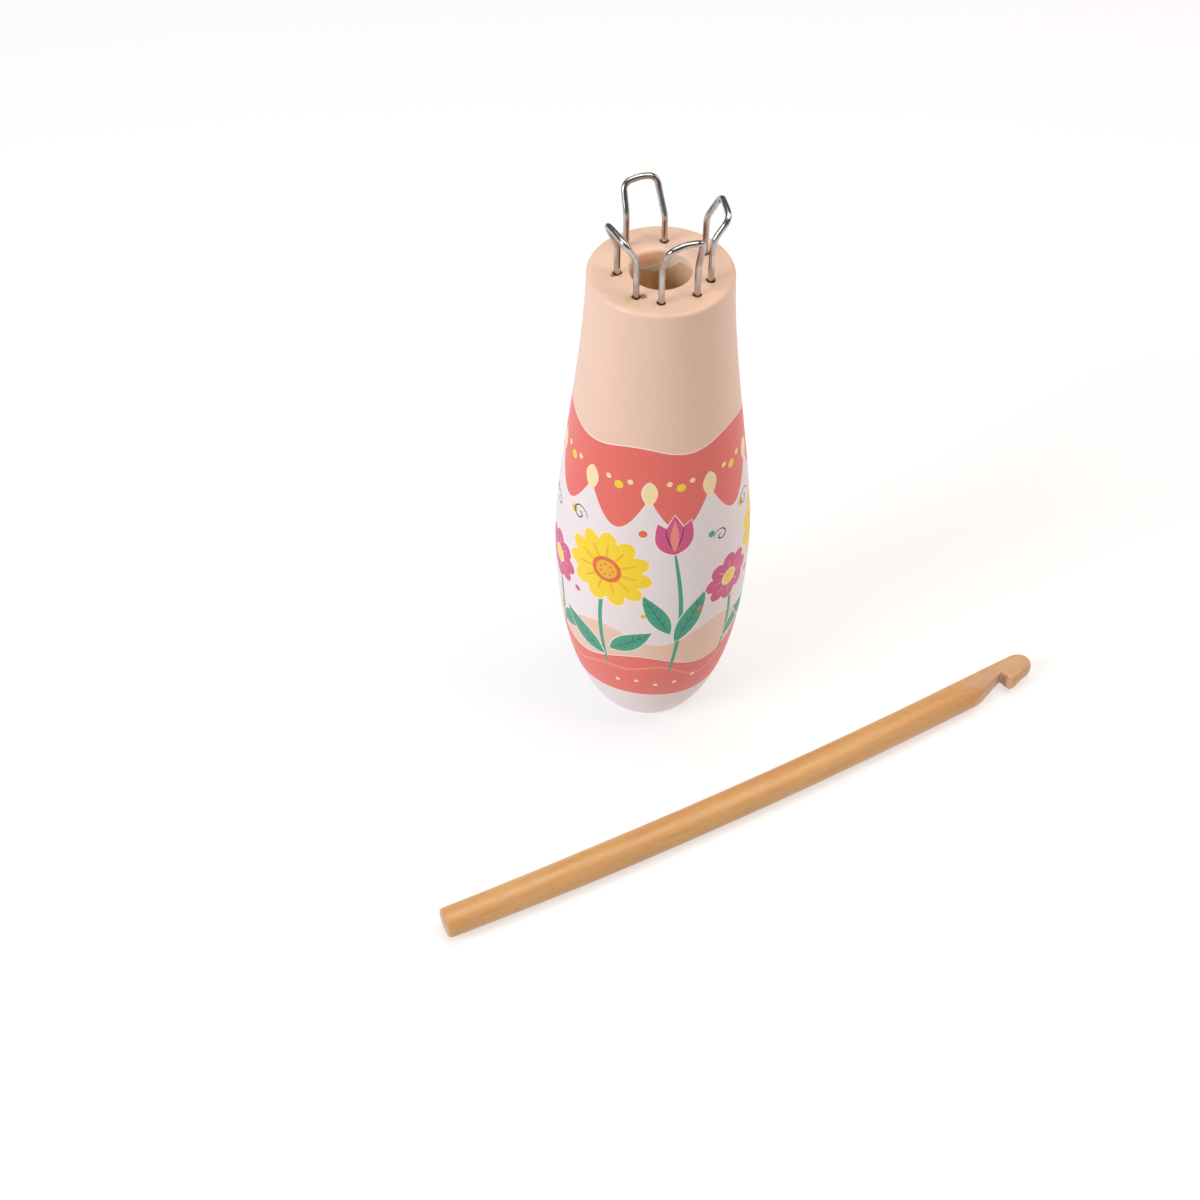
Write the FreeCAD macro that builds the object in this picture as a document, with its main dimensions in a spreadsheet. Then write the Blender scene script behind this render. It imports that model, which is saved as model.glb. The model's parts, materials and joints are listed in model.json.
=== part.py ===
import FreeCAD, Part
import Sketcher
import math
import os
import re

# I-cord maker: a turned wooden dolly with four wire loops, and its wooden crochet hook.
# Frame: origin in the middle of the dolly's base, on the bore's axis. +Z runs up the bore,
# and the front loop leans towards -Y. All lengths are in millimetres, all angles in degrees.

# name, value, what it is
SIZES = [
    ("body_height", 117.0, "base to top face"),
    ("base_diameter", 23.2, "where the side meets the base, before its edge is rounded"),
    ("belly_diameter", 41.4, "widest part of the body"),
    ("belly_height", 48.3, "height of the widest part"),
    ("top_diameter", 27.5, "top face, before its edge is rounded"),
    ("base_flare", 8.5, "how far the side's curve sets off outwards at the base"),
    ("base_rise", 12.7, "how far the same curve sets off upwards at the base"),
    ("belly_pull_down", 12.3, "how far the belly stays upright below its widest part"),
    ("belly_pull_up", 16.0, "how far the belly stays upright above its widest part"),
    ("neck_pull", 21.0, "how far the neck runs nearly straight below the top"),
    ("neck_taper", 0.5, "how much wider each side is at the foot of that straight part"),
    ("top_edge_radius", 0.8, "rounding of the top face's rim"),
    ("base_edge_radius", 1.2, "rounding of the base's rim"),
    ("bore_diameter", 11.4, "the cord's way down through the body"),
    ("bore_edge_radius", 0.5, "rounding of the bore's upper mouth"),
    ("wire_diameter", 1.2, "steel wire of the loops"),
    ("wire_clearance", 0.02, "all round a leg in its hole"),
    ("leg_depth", 12.0, "how far each leg goes into the wood"),
    ("leg_end_gap", 0.3, "below each leg's end in its hole"),
    ("hole_mouth_diameter", 1.8, "worn mouth of each leg's hole"),
    ("hole_mouth_depth", 0.5, "depth of that worn mouth"),
    ("kink_radius", 4.0, "centre line of the wire where a leg kinks outwards"),
    ("first_corner_share", 0.29, "radius of a top's right corner against the bar's length"),
    ("crown_share", 1.0, "radius of the bend in the middle of the bar against its length"),
    ("hook_length", 150.0, "along the hook's centre line"),
    ("hook_diameter", 7.0, "the hook's rod"),
    ("butt_diameter", 6.5, "the rod's plain end"),
    ("butt_taper", 34.0, "length over which the rod narrows to its plain end"),
    ("bow_radius", 1290.0, "the rod's slight bow, which lies flat on the table"),
    ("head_length", 26.5, "straight carved end of the hook"),
    ("slope_start", 7.8, "from the head's root to where its sloping cut begins"),
    ("throat_distance", 17.8, "from the head's root to the bottom of the throat"),
    ("throat_depth", 3.5, "from the rod's side to the bottom of the throat"),
    ("throat_radius", 0.35, "rounding at the bottom of the throat"),
    ("throat_lean", 0.35, "how far the barb's inner wall leans over towards the tip"),
    ("lip_radius", 1.3, "rounding of the barb's point, seen from above"),
    ("lip_overrun", 0.1, "how far that rounding runs on past the rod's side"),
    ("brow_start", 19.4, "from the head's root to where the nose begins to narrow"),
    ("nose_diameter", 6.0, "the head where its round nose begins"),
    ("nose_length", 3.8, "of the round nose"),
    ("nose_fullness", 0.55, "how full the nose is, from pointed at 0 to blunt at 1"),
    ("nose_aside", 0.5, "how far the nose's middle lies off the rod's axis, on the plain side"),
    ("cheek_start", 0.0, "from the head's root to where the flat cheeks begin"),
    ("cheek_thickness", 5.4, "of the head between its cheeks, from the throat on"),
    ("butt_edge_radius", 0.3, "rounding of the rod's plain end"),
    ("cut_margin", 1.0, "how far a carving cut runs past the rod"),
    ("hook_out", 34.6, "how far the head's root lies in front of the bore's axis"),
    ("hook_across", 58.1, "how far the head's root lies to the right of the bore's axis"),
    ("hook_turn", 10.0, "direction in which the hook's head points"),
    # Each loop was bent and set by hand, so each has its own sizes. They are measured in the loop's
    # own frame, which looks outwards from the bore's axis the way that the loop leans.
    ("front_set_out", 3.32, "the front loop: its legs, out from the bore's wall"),
    ("front_aside", 0.06, "the middle between its legs, to its left"),
    ("front_leg_gap", 6.93, "between its legs' centre lines"),
    ("front_first_kink", 7.6, "its right leg's kink, above the body"),
    ("front_second_kink", 6.55, "its left leg's kink, above the body"),
    ("front_top_width", 7.73, "its top bar with both corners"),
    ("front_top_height", 13.8, "the middle of its top bar, above the body"),
    ("front_lean", 2.34, "its top bar, out from its legs"),
    ("front_top_aside", -0.09, "the middle of its top bar, to its left"),
    ("front_tilt", 0.62, "how much higher the top bar's left end is"),
    ("front_crown", 0.57, "how far the bar's ends lie below its middle"),
    ("front_twist", -0.1, "how much further out the bar's left end is"),
    ("front_corner_share", 0.2, "radius of the left corner against the bar's length"),
    ("right_set_out", 2.93, "the right loop: its legs, out from the bore's wall"),
    ("right_aside", 0.12, "the middle between its legs, to its left"),
    ("right_leg_gap", 8.11, "between its legs' centre lines"),
    ("right_first_kink", 8.4, "its right leg's kink, above the body"),
    ("right_second_kink", 7.9, "its left leg's kink, above the body"),
    ("right_top_width", 7.92, "its top bar with both corners"),
    ("right_top_height", 13.1, "the middle of its top bar, above the body"),
    ("right_lean", 2.75, "its top bar, out from its legs"),
    ("right_top_aside", 0.81, "the middle of its top bar, to its left"),
    ("right_tilt", 0.1, "how much higher the top bar's left end is"),
    ("right_crown", 0.3, "how far the bar's ends lie below its middle"),
    ("right_twist", -0.5, "how much further out the bar's left end is"),
    ("right_corner_share", 0.2, "radius of the left corner against the bar's length"),
    ("back_set_out", 2.64, "the back loop: its legs, out from the bore's wall"),
    ("back_aside", 0.99, "the middle between its legs, to its left"),
    ("back_leg_gap", 7.33, "between its legs' centre lines"),
    ("back_first_kink", 5.25, "its right leg's kink, above the body"),
    ("back_second_kink", 7.0, "its left leg's kink, above the body"),
    ("back_top_width", 7.47, "its top bar with both corners"),
    ("back_top_height", 13.15, "the middle of its top bar, above the body"),
    ("back_lean", 3.12, "its top bar, out from its legs"),
    ("back_top_aside", 1.47, "the middle of its top bar, to its left"),
    ("back_tilt", -0.6, "how much higher the top bar's left end is"),
    ("back_crown", 0.54, "how far the bar's ends lie below its middle"),
    ("back_twist", -0.3, "how much further out the bar's left end is"),
    ("back_corner_share", 0.3, "radius of the left corner against the bar's length"),
    ("left_set_out", 2.01, "the left loop: its legs, out from the bore's wall"),
    ("left_aside", 1.27, "the middle between its legs, to its left"),
    ("left_leg_gap", 7.7, "between its legs' centre lines"),
    ("left_first_kink", 6.3, "its right leg's kink, above the body"),
    ("left_second_kink", 7.9, "its left leg's kink, above the body"),
    ("left_top_width", 8.52, "its top bar with both corners"),
    ("left_top_height", 12.72, "the middle of its top bar, above the body"),
    ("left_lean", 2.47, "its top bar, out from its legs"),
    ("left_top_aside", 1.37, "the middle of its top bar, to its left"),
    ("left_tilt", -0.1, "how much higher the top bar's left end is"),
    ("left_crown", 0.12, "how far the bar's ends lie below its middle"),
    ("left_twist", -0.3, "how much further out the bar's left end is"),
    ("left_corner_share", 0.2, "radius of the left corner against the bar's length"),
]

# the way that each loop leans, in degrees from +X towards +Y
LOOPS = {"front": 269.6, "right": 345.3, "back": 82.5, "left": 186.1}

doc = FreeCAD.newDocument("IcordMaker")
sheet = doc.addObject("Spreadsheet::Sheet", "Sizes")


def fill_sheet():
    rows = list(SIZES)
    for loop, angle in LOOPS.items():
        rows.append((loop + "_angle", angle, "the way that the %s loop leans" % loop))
    for row, (name, value, note) in enumerate(rows, start=1):
        sheet.set("A%d" % row, name.replace("_", " "))
        sheet.set("B%d" % row, str(value))
        sheet.setAlias("B%d" % row, name)
        sheet.set("C%d" % row, note)
    doc.recompute()


def linked(expression):
    # every name in the sheet has an underscore, which tells it from a function's name
    return re.sub(r"\b([a-z]+(?:_[a-z]+)+)\b", r"Sizes.\1", expression)


def size(expression):
    return float(sheet.evalExpression(linked(expression)))


def point(across, up):
    return FreeCAD.Vector(size(across), size(up), 0)


def new_body(label):
    body = doc.addObject("PartDesign::Body", label)
    body.Label = label
    doc.recompute()
    return body


def new_sketch(body, role, name):
    plane = [item for item in body.Origin.OriginFeatures if item.Role == role][0]
    sketch = body.newObject("Sketcher::SketchObject", name)
    sketch.AttachmentSupport = (plane, [""])
    sketch.MapMode = "FlatFace"
    return sketch


def dimension(sketch, kind, where, expression):
    # one dimension of a sketch, tied to the sheet
    index = sketch.addConstraint(Sketcher.Constraint(kind, *where, size(expression)))
    sketch.setExpression("Constraints[%d]" % index, linked(expression))


def pin_point(sketch, geometry, end, across, up):
    # a distance of "0" keeps the point on the sketch's own axis (-2 is its upright, -1 its level)
    for kind, axis, distance in (("DistanceX", -2, across), ("DistanceY", -1, up)):
        if distance == "0":
            sketch.addConstraint(Sketcher.Constraint("PointOnObject", geometry, end, axis))
        else:
            dimension(sketch, kind, (-1, 1, geometry, end), distance)


def add_circle(sketch, across, up, radius):
    circle = Part.Circle(point(across, up), FreeCAD.Vector(0, 0, 1), size(radius))
    index = sketch.addGeometry(circle)
    pin_point(sketch, index, 3, across, up)
    dimension(sketch, "Radius", (index,), radius)


def add_arc(sketch, start, end, radius):
    # a round stretch that turns left on its way from start to end
    first, last = point(*start), point(*end)
    reach = size(radius)
    half = (last - first) * 0.5
    left = FreeCAD.Vector(-half.y, half.x, 0).normalize()
    centre = first + half + left * math.sqrt(max(reach ** 2 - half.Length ** 2, 0))
    angles = [math.atan2(tip.y - centre.y, tip.x - centre.x) for tip in (first, last)]
    if angles[1] < angles[0]:
        angles[1] += 2 * math.pi
    circle = Part.Circle(centre, FreeCAD.Vector(0, 0, 1), reach)
    return sketch.addGeometry(Part.ArcOfCircle(circle, *angles))


def add_curve(sketch, poles):
    # one cubic span, held by its four poles
    curve = Part.BSplineCurve()
    curve.buildFromPolesMultsKnots([point(*pole) for pole in poles], [4, 4], [0, 1], False, 3)
    index = sketch.addGeometry(curve)
    sketch.exposeInternalGeometry(index)
    for place, pole in enumerate(poles, start=1):
        pin_point(sketch, index + place, 3, *pole)
    return index


def add_outline(sketch, corners, bends):
    # a closed outline through the corners; bends gives the radius of the stretches that are round
    edges = []
    for place, start in enumerate(corners):
        end = corners[(place + 1) % len(corners)]
        if place in bends:
            edges.append(add_arc(sketch, start, end, bends[place]))
        else:
            edges.append(sketch.addGeometry(Part.LineSegment(point(*start), point(*end))))
    for place, edge in enumerate(edges):
        pin_point(sketch, edge, 1, *corners[place])
        sketch.addConstraint(Sketcher.Constraint("Coincident", edges[place - 1], 2, edge, 1))
        if place in bends:
            dimension(sketch, "Radius", (edge,), bends[place])


def add_feature(body, kind, name, profile=None):
    feature = body.newObject("PartDesign::" + kind, name)
    if profile is not None:
        feature.Profile = profile
        profile.Visibility = False
    return feature


def cut(body, name, profile, depth=None):
    # a pocket along the sketch's normal, or right through both ways where no depth is given
    before = body.Shape.Volume
    pocket = add_feature(body, "Pocket", name, profile)
    if depth is None:
        pocket.Type = "ThroughAll"
        pocket.Midplane = True
    else:
        pocket.setExpression("Length", linked(depth))
    doc.recompute()
    if not body.Shape.Volume < before:
        raise RuntimeError(name + " cuts nothing")
    return pocket


def round_edges(body, name, base, chosen, radius):
    # chosen tells from an edge whether it is rounded
    doc.recompute()
    edges = base.Shape.Edges
    names = ["Edge%d" % (place + 1) for place, edge in enumerate(edges) if chosen(edge)]
    if not names:
        raise RuntimeError(name + " finds no edge")
    fillet = add_feature(body, "Fillet", name)
    fillet.Base = (base, names)
    fillet.setExpression("Radius", linked(radius))
    doc.recompute()
    return fillet


def is_rim(edge, radius, height):
    # a full circle round the vertical axis
    if not isinstance(edge.Curve, Part.Circle):
        return False
    same_size = math.isclose(edge.Curve.Radius, size(radius), abs_tol=1e-4)
    return same_size and math.isclose(edge.Curve.Center.z, size(height), abs_tol=1e-4)


def is_throat_bottom(edge):
    # the upright line where the sloping cut meets the barb's inner wall
    bottom = point("throat_distance", "throat_depth - hook_diameter / 2")
    middle = edge.CenterOfMass
    off = math.hypot(middle.x - bottom.x, middle.y - bottom.y)
    return off < 1e-4 and math.isclose(edge.Length, edge.BoundBox.ZLength, abs_tol=1e-4)


def is_butt_rim(edge):
    # the closed edge furthest from the tip
    back = "-bow_radius * sin((hook_length - head_length) / bow_radius * 180deg / pi)"
    return edge.BoundBox.XMax < size(back) + size("butt_diameter") / 2 and edge.isClosed()


def leg_places(loop):
    # the two legs' holes, in the loop's own frame: away from the bore, and to the left
    out = "bore_diameter / 2 + %s_set_out" % loop
    left = ["%s_aside %s %s_leg_gap / 2" % (loop, sign, loop) for sign in "-+"]
    return [(out, place) for place in left]


def make_dolly_body():
    body = new_body("dolly_body")
    profile = new_sketch(body, "XZ_Plane", "body_profile")
    base, belly, top = "base_diameter / 2", "belly_diameter / 2", "top_diameter / 2"
    lower = add_curve(profile, [
        (base, "0"),
        (base + " + base_flare", "base_rise"),
        (belly, "belly_height - belly_pull_down"),
        (belly, "belly_height"),
    ])
    upper = add_curve(profile, [
        (belly, "belly_height"),
        (belly, "belly_height + belly_pull_up"),
        (top + " + neck_taper", "body_height - neck_pull"),
        (top, "body_height"),
    ])
    ring = [("0", "0"), (base, "0"), (top, "body_height"), ("0", "body_height")]
    floor = profile.addGeometry(Part.LineSegment(point(*ring[0]), point(*ring[1])))
    face = profile.addGeometry(Part.LineSegment(point(*ring[2]), point(*ring[3])))
    axis = profile.addGeometry(Part.LineSegment(point(*ring[3]), point(*ring[0])))
    pin_point(profile, face, 2, *ring[3])
    pin_point(profile, axis, 2, *ring[0])
    for one, other in ((floor, lower), (upper, face), (face, axis), (axis, floor)):
        profile.addConstraint(Sketcher.Constraint("Coincident", one, 2, other, 1))
    turned = add_feature(body, "Revolution", "turned_wood", profile)
    turned.ReferenceAxis = (profile, ["V_Axis"])
    turned.Angle = 360
    doc.recompute()
    top_rim = round_edges(body, "top_rim", turned,
                          lambda edge: is_rim(edge, top, "body_height"), "top_edge_radius")
    round_edges(body, "base_rim", top_rim,
                lambda edge: is_rim(edge, base, "0"), "base_edge_radius")

    bore = new_sketch(body, "XY_Plane", "bore_circle")
    add_circle(bore, "0", "0", "bore_diameter / 2")
    bored = cut(body, "bore", bore)
    round_edges(body, "bore_mouth", bored,
                lambda edge: is_rim(edge, "bore_diameter / 2", "body_height"), "bore_edge_radius")

    for loop in LOOPS:
        for what, radius, depth in (
                ("mouths", "hole_mouth_diameter / 2", "hole_mouth_depth"),
                ("holes", "wire_diameter / 2 + wire_clearance", "leg_depth + leg_end_gap")):
            sketch = new_sketch(body, "XY_Plane", "%s_%s_circles" % (loop, what))
            sketch.setExpression("AttachmentOffset.Base.z", linked("body_height"))
            sketch.setExpression("AttachmentOffset.Rotation.Angle", linked(loop + "_angle"))
            for place in leg_places(loop):
                add_circle(sketch, place[0], place[1], radius)
            cut(body, "%s_%s" % (loop, what), sketch, depth)
    return body


def bent_line(corners, radii):
    # straight runs joined by tangent arcs; radii holds one radius for each inner corner
    edges = []
    start = corners[0]
    for before, corner, after, radius in zip(corners, corners[1:], corners[2:], radii):
        back = (before - corner).normalize()
        ahead = (after - corner).normalize()
        half_angle = back.getAngle(ahead) / 2
        setback = radius / math.tan(half_angle)
        middle = (back + ahead).normalize()
        deepest = corner + middle * (radius / math.sin(half_angle) - radius)
        edges.append(Part.LineSegment(start, corner + back * setback).toShape())
        arc = Part.Arc(corner + back * setback, deepest, corner + ahead * setback)
        edges.append(arc.toShape())
        start = corner + ahead * setback
    edges.append(Part.LineSegment(start, corners[-1]).toShape())
    return Part.Wire(edges)


def top_places(loop):
    # the top bar's right end, its raised middle and its left end
    places = []
    for share, crowned in (("-1 / 2", 1), ("0", 0), ("1 / 2", 1)):
        places.append((
            "bore_diameter / 2 + {0}_set_out + {0}_lean + ({1}) * {0}_twist".format(loop, share),
            "{0}_top_aside + ({1}) * ({0}_top_width - wire_diameter)".format(loop, share),
            "body_height + {0}_top_height - wire_diameter / 2 + ({1}) * {0}_tilt - {2} * {0}_crown"
            .format(loop, share, crowned),
        ))
    return places


def make_loop(loop):
    # the wire's centre line, in a frame whose +X is the way that the loop leans
    (out, first), (_, second) = leg_places(loop)
    foot = "body_height - leg_depth"
    places = [(out, first, foot), (out, first, "body_height + %s_first_kink" % loop)]
    places += top_places(loop)
    places += [(out, second, "body_height + %s_second_kink" % loop), (out, second, foot)]
    corners = [FreeCAD.Vector(*[size(length) for length in place]) for place in places]
    bar = "(%s_top_width - wire_diameter)" % loop
    shares = ["first_corner_share", "crown_share", loop + "_corner_share"]
    bends = [size("%s * %s" % (share, bar)) for share in shares]
    kink = size("kink_radius")
    line = doc.addObject("Part::Feature", "wire_line_" + loop)
    line.Shape = bent_line(corners, [kink] + bends + [kink])

    section = doc.addObject("Part::Circle", "wire_section_" + loop)
    section.setExpression("Radius", linked("wire_diameter / 2"))
    section.setExpression("Placement.Base.x", linked(out))
    section.setExpression("Placement.Base.y", linked(first))
    section.setExpression("Placement.Base.z", linked(foot))

    wire = doc.addObject("Part::Sweep", "wire_loop_" + loop)
    wire.Label = "wire_loop_" + loop
    wire.Sections = [section]
    wire.Spine = (line, ["Edge%d" % (place + 1) for place in range(len(line.Shape.Edges))])
    wire.Solid = True
    wire.Frenet = False
    wire.setExpression("Placement.Rotation.Angle", linked(loop + "_angle"))
    doc.recompute()
    return wire


def make_crochet_hook():
    # the body's own frame: origin at the head's root on the rod's axis, +X towards the tip,
    # +Z up, and the throat opens towards -Y
    body = new_body("crochet_hook")
    radius = "hook_diameter / 2"

    # the rod bows round a centre on the +Y side; each place on it is an angle back from the root
    bow = {
        "butt": "(hook_length - head_length) / bow_radius * 180deg / pi",
        "taper_end": "(hook_length - head_length - butt_taper) / bow_radius * 180deg / pi",
    }
    places = {
        name: ("-bow_radius * sin(%s)" % turn, "bow_radius * (1 - cos(%s))" % turn)
        for name, turn in bow.items()
    }
    taper_line = new_sketch(body, "XY_Plane", "taper_line")
    taper = add_arc(taper_line, places["butt"], places["taper_end"], "bow_radius")
    pin_point(taper_line, taper, 1, *places["butt"])
    pin_point(taper_line, taper, 2, *places["taper_end"])
    dimension(taper_line, "Radius", (taper,), "bow_radius")

    rod_line = new_sketch(body, "XY_Plane", "rod_line")
    rod = add_arc(rod_line, places["taper_end"], ("0", "0"), "bow_radius")
    neck = rod_line.addGeometry(Part.LineSegment(point("0", "0"), point("brow_start", "0")))
    pin_point(rod_line, rod, 1, *places["taper_end"])
    dimension(rod_line, "Radius", (rod,), "bow_radius")
    rod_line.addConstraint(Sketcher.Constraint("Coincident", rod, 2, -1, 1))
    rod_line.addConstraint(Sketcher.Constraint("Coincident", neck, 1, -1, 1))
    pin_point(rod_line, neck, 2, "brow_start", "0")

    sections = {}
    for name, breadth in (("butt", "butt_diameter / 2"), ("taper_end", radius)):
        section = new_sketch(body, "YZ_Plane", name + "_section")
        section.AttachmentOffset = FreeCAD.Placement(
            FreeCAD.Vector(), FreeCAD.Rotation(FreeCAD.Vector(0, 1, 0), 1))
        section.setExpression("AttachmentOffset.Base.x", linked(places[name][1]))
        section.setExpression("AttachmentOffset.Base.z", linked(places[name][0]))
        section.setExpression("AttachmentOffset.Rotation.Angle", linked("-(%s)" % bow[name]))
        add_circle(section, "0", "0", breadth)
        sections[name] = section
    doc.recompute()

    for name, line, start, others in (
            ("tapered_butt", taper_line, "butt", ["taper_end"]),
            ("rod", rod_line, "taper_end", [])):
        pipe = add_feature(body, "AdditivePipe", name, sections[start])
        pipe.Spine = (line, ["Edge%d" % (place + 1) for place in range(len(line.Shape.Edges))])
        if others:
            pipe.Transformation = "Multisection"
            pipe.Sections = [sections[other] for other in others]
        doc.recompute()
        if name == "tapered_butt":
            round_edges(body, "butt_rim", pipe, is_butt_rim, "butt_edge_radius")

    # the brow narrows on the barb's side only, and ends in a round nose
    brow_ends = {
        "brow_foot": ("0", "brow_start", radius),
        "brow_end": ("nose_aside", "head_length - nose_length", "nose_diameter / 2"),
    }
    for name, (aside, along, breadth) in brow_ends.items():
        section = new_sketch(body, "YZ_Plane", name)
        section.setExpression("AttachmentOffset.Base.z", linked(along))
        add_circle(section, aside, "0", breadth)
        sections[name] = section
    doc.recompute()
    brow = add_feature(body, "AdditiveLoft", "brow", sections["brow_foot"])
    brow.Sections = [sections["brow_end"]]
    brow.Ruled = True
    doc.recompute()

    outline = new_sketch(body, "XY_Plane", "nose_outline")
    outline.setExpression("AttachmentOffset.Base.x", linked("head_length - nose_length"))
    outline.setExpression("AttachmentOffset.Base.y", linked("nose_aside"))
    curve = add_curve(outline, [
        ("nose_length", "0"),
        ("nose_length", "nose_fullness * nose_diameter / 2"),
        ("nose_fullness * nose_length", "nose_diameter / 2"),
        ("0", "nose_diameter / 2"),
    ])
    middle = FreeCAD.Vector()
    flat = outline.addGeometry(Part.LineSegment(point("0", "nose_diameter / 2"), middle))
    axis = outline.addGeometry(Part.LineSegment(middle, point("nose_length", "0")))
    for one, other in ((curve, flat), (flat, axis), (axis, curve)):
        outline.addConstraint(Sketcher.Constraint("Coincident", one, 2, other, 1))
    outline.addConstraint(Sketcher.Constraint("Coincident", flat, 2, -1, 1))
    nose = add_feature(body, "Revolution", "nose", outline)
    nose.ReferenceAxis = (outline, ["H_Axis"])
    nose.Angle = 360
    doc.recompute()

    # seen from above: the sloping cut, the throat and the barb's rounded point
    outside = "-(hook_diameter / 2 + cut_margin)"
    point_of_barb = "-(hook_diameter / 2 + lip_overrun)"
    plan = new_sketch(body, "XY_Plane", "throat_from_above")
    add_outline(plan, [
        ("slope_start - cut_margin * (throat_distance - slope_start) / throat_depth", outside),
        ("throat_distance", "throat_depth - hook_diameter / 2"),
        ("throat_distance + throat_lean", point_of_barb + " + lip_radius"),
        ("throat_distance + throat_lean + lip_radius", point_of_barb),
        ("throat_distance + throat_lean + lip_radius", outside),
    ], {2: "lip_radius"})
    throat = cut(body, "throat", plan)
    round_edges(body, "throat_bottom", throat, is_throat_bottom, "throat_radius")

    # seen from the side: two flat cheeks, which slope down from the rod as far as the throat
    for name, sign in (("upper", ""), ("lower", "-")):
        side = new_sketch(body, "XZ_Plane", name + "_cheek_from_the_side")
        add_outline(side, [
            ("cheek_start", sign + "hook_diameter / 2"),
            ("throat_distance", sign + "cheek_thickness / 2"),
            ("head_length + cut_margin", sign + "cheek_thickness / 2"),
            ("head_length + cut_margin", sign + "(hook_diameter / 2 + cut_margin)"),
            ("cheek_start", sign + "(hook_diameter / 2 + cut_margin)"),
        ], {})
        cut(body, name + "_cheek", side)

    # it lies on the table in front of the dolly
    body.setExpression("Placement.Base.x", linked("hook_across"))
    body.setExpression("Placement.Base.y", linked("-hook_out"))
    body.setExpression("Placement.Base.z", linked("hook_diameter / 2"))
    body.setExpression("Placement.Rotation.Angle", linked("hook_turn"))
    return body


def check_document():
    doc.recompute()
    for item in doc.Objects:
        if "Invalid" in item.State or "Error" in item.State:
            raise RuntimeError("%s failed: %s" % (item.Label, item.State))


def write_parts(parts):
    check_document()
    for part in parts:
        shape = part.Shape
        if shape.isNull() or not shape.isValid() or len(shape.Solids) != 1:
            raise RuntimeError(part.Label + " is not one valid solid")
    os.makedirs("parts", exist_ok=True)
    for part in parts:
        part.Shape.exportStep("parts/%s.step" % part.Label)
        print(part.Label, "volume %.1f" % part.Shape.Volume)


fill_sheet()
pieces = [make_dolly_body()]
pieces += [make_loop(loop) for loop in LOOPS]
pieces.append(make_crochet_hook())
write_parts(pieces)
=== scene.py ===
import json
import math

import bmesh
import bpy
from mathutils import Matrix, Vector, noise
from mathutils.geometry import delaunay_2d_cdt

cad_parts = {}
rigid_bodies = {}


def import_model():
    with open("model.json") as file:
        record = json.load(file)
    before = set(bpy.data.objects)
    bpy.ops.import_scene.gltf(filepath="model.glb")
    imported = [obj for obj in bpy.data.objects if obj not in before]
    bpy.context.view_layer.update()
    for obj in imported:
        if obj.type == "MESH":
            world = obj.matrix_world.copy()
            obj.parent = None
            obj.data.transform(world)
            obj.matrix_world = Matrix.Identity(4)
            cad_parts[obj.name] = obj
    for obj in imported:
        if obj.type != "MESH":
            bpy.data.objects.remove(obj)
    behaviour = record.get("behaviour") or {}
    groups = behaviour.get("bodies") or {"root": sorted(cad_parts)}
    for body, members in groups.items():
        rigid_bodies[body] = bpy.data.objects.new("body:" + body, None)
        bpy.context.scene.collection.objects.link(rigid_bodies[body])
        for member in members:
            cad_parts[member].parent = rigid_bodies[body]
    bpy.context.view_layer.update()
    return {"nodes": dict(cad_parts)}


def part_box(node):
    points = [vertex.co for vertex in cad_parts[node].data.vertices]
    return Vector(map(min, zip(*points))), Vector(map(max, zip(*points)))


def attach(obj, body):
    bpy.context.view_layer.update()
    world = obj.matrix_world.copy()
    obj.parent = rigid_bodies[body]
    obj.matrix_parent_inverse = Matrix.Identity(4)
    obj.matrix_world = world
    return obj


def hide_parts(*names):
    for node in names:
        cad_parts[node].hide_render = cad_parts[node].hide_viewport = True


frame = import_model()
mm = 0.001
print("frame loaded:", len(frame["nodes"]), "nodes")


# small helpers for node trees, meshes and colours

def addNode(tree, kind, settings=None, inputs=None):
    made = tree.nodes.new(kind)
    for name, value in (settings or {}).items():
        setattr(made, name, value)
    for name, value in (inputs or {}).items():
        if isinstance(value, bpy.types.NodeSocket):
            tree.links.new(value, made.inputs[name])
        else:
            made.inputs[name].default_value = value
    return made


def hexPaint(code):
    # a web colour as linear light
    parts = [int(code[place:place + 2], 16) / 255 for place in (1, 3, 5)]
    return [part / 12.92 if part <= 0.04045 else ((part + 0.055) / 1.055) ** 2.4 for part in parts] + [1.0]


def newObject(name, data):
    made = bpy.data.objects.new(name, data)
    bpy.context.scene.collection.objects.link(made)
    return made


def newTree(name, sockets):
    # a geometry tree with its named inputs; sockets is a list of (name, socket type)
    tree = bpy.data.node_groups.new(name, "GeometryNodeTree")
    tree.interface.new_socket("Geometry", in_out="OUTPUT", socket_type="NodeSocketGeometry")
    tree.interface.new_socket("Geometry", in_out="INPUT", socket_type="NodeSocketGeometry")
    for socketName, kind in sockets:
        tree.interface.new_socket(socketName, in_out="INPUT", socket_type=kind)
    return tree


def useTree(shaped, tree, values):
    # sets each input by its identifier before the object is first evaluated
    modifier = shaped.modifiers.new(tree.name, "NODES")
    modifier.node_group = tree
    for item in tree.interface.items_tree:
        if item.in_out == "INPUT" and item.name in values:
            modifier[item.identifier] = values[item.name]


def makePlain(shaped, name):
    # the evaluated result as a plain mesh object; the one with the modifiers goes
    depsgraph = bpy.context.evaluated_depsgraph_get()
    mesh = bpy.data.meshes.new_from_object(
        shaped.evaluated_get(depsgraph), preserve_all_data_layers=True, depsgraph=depsgraph)
    shaped.modifiers.clear()
    bpy.data.objects.remove(shaped)
    mesh.name = name
    return newObject(name, mesh)


def newMaterial(name):
    made = bpy.data.materials.new(name)
    made.use_nodes = True
    made.node_tree.nodes.clear()
    return made, made.node_tree


def closeMaterial(tree, shader):
    addNode(tree, "ShaderNodeOutputMaterial", inputs={"Surface": shader})


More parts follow.
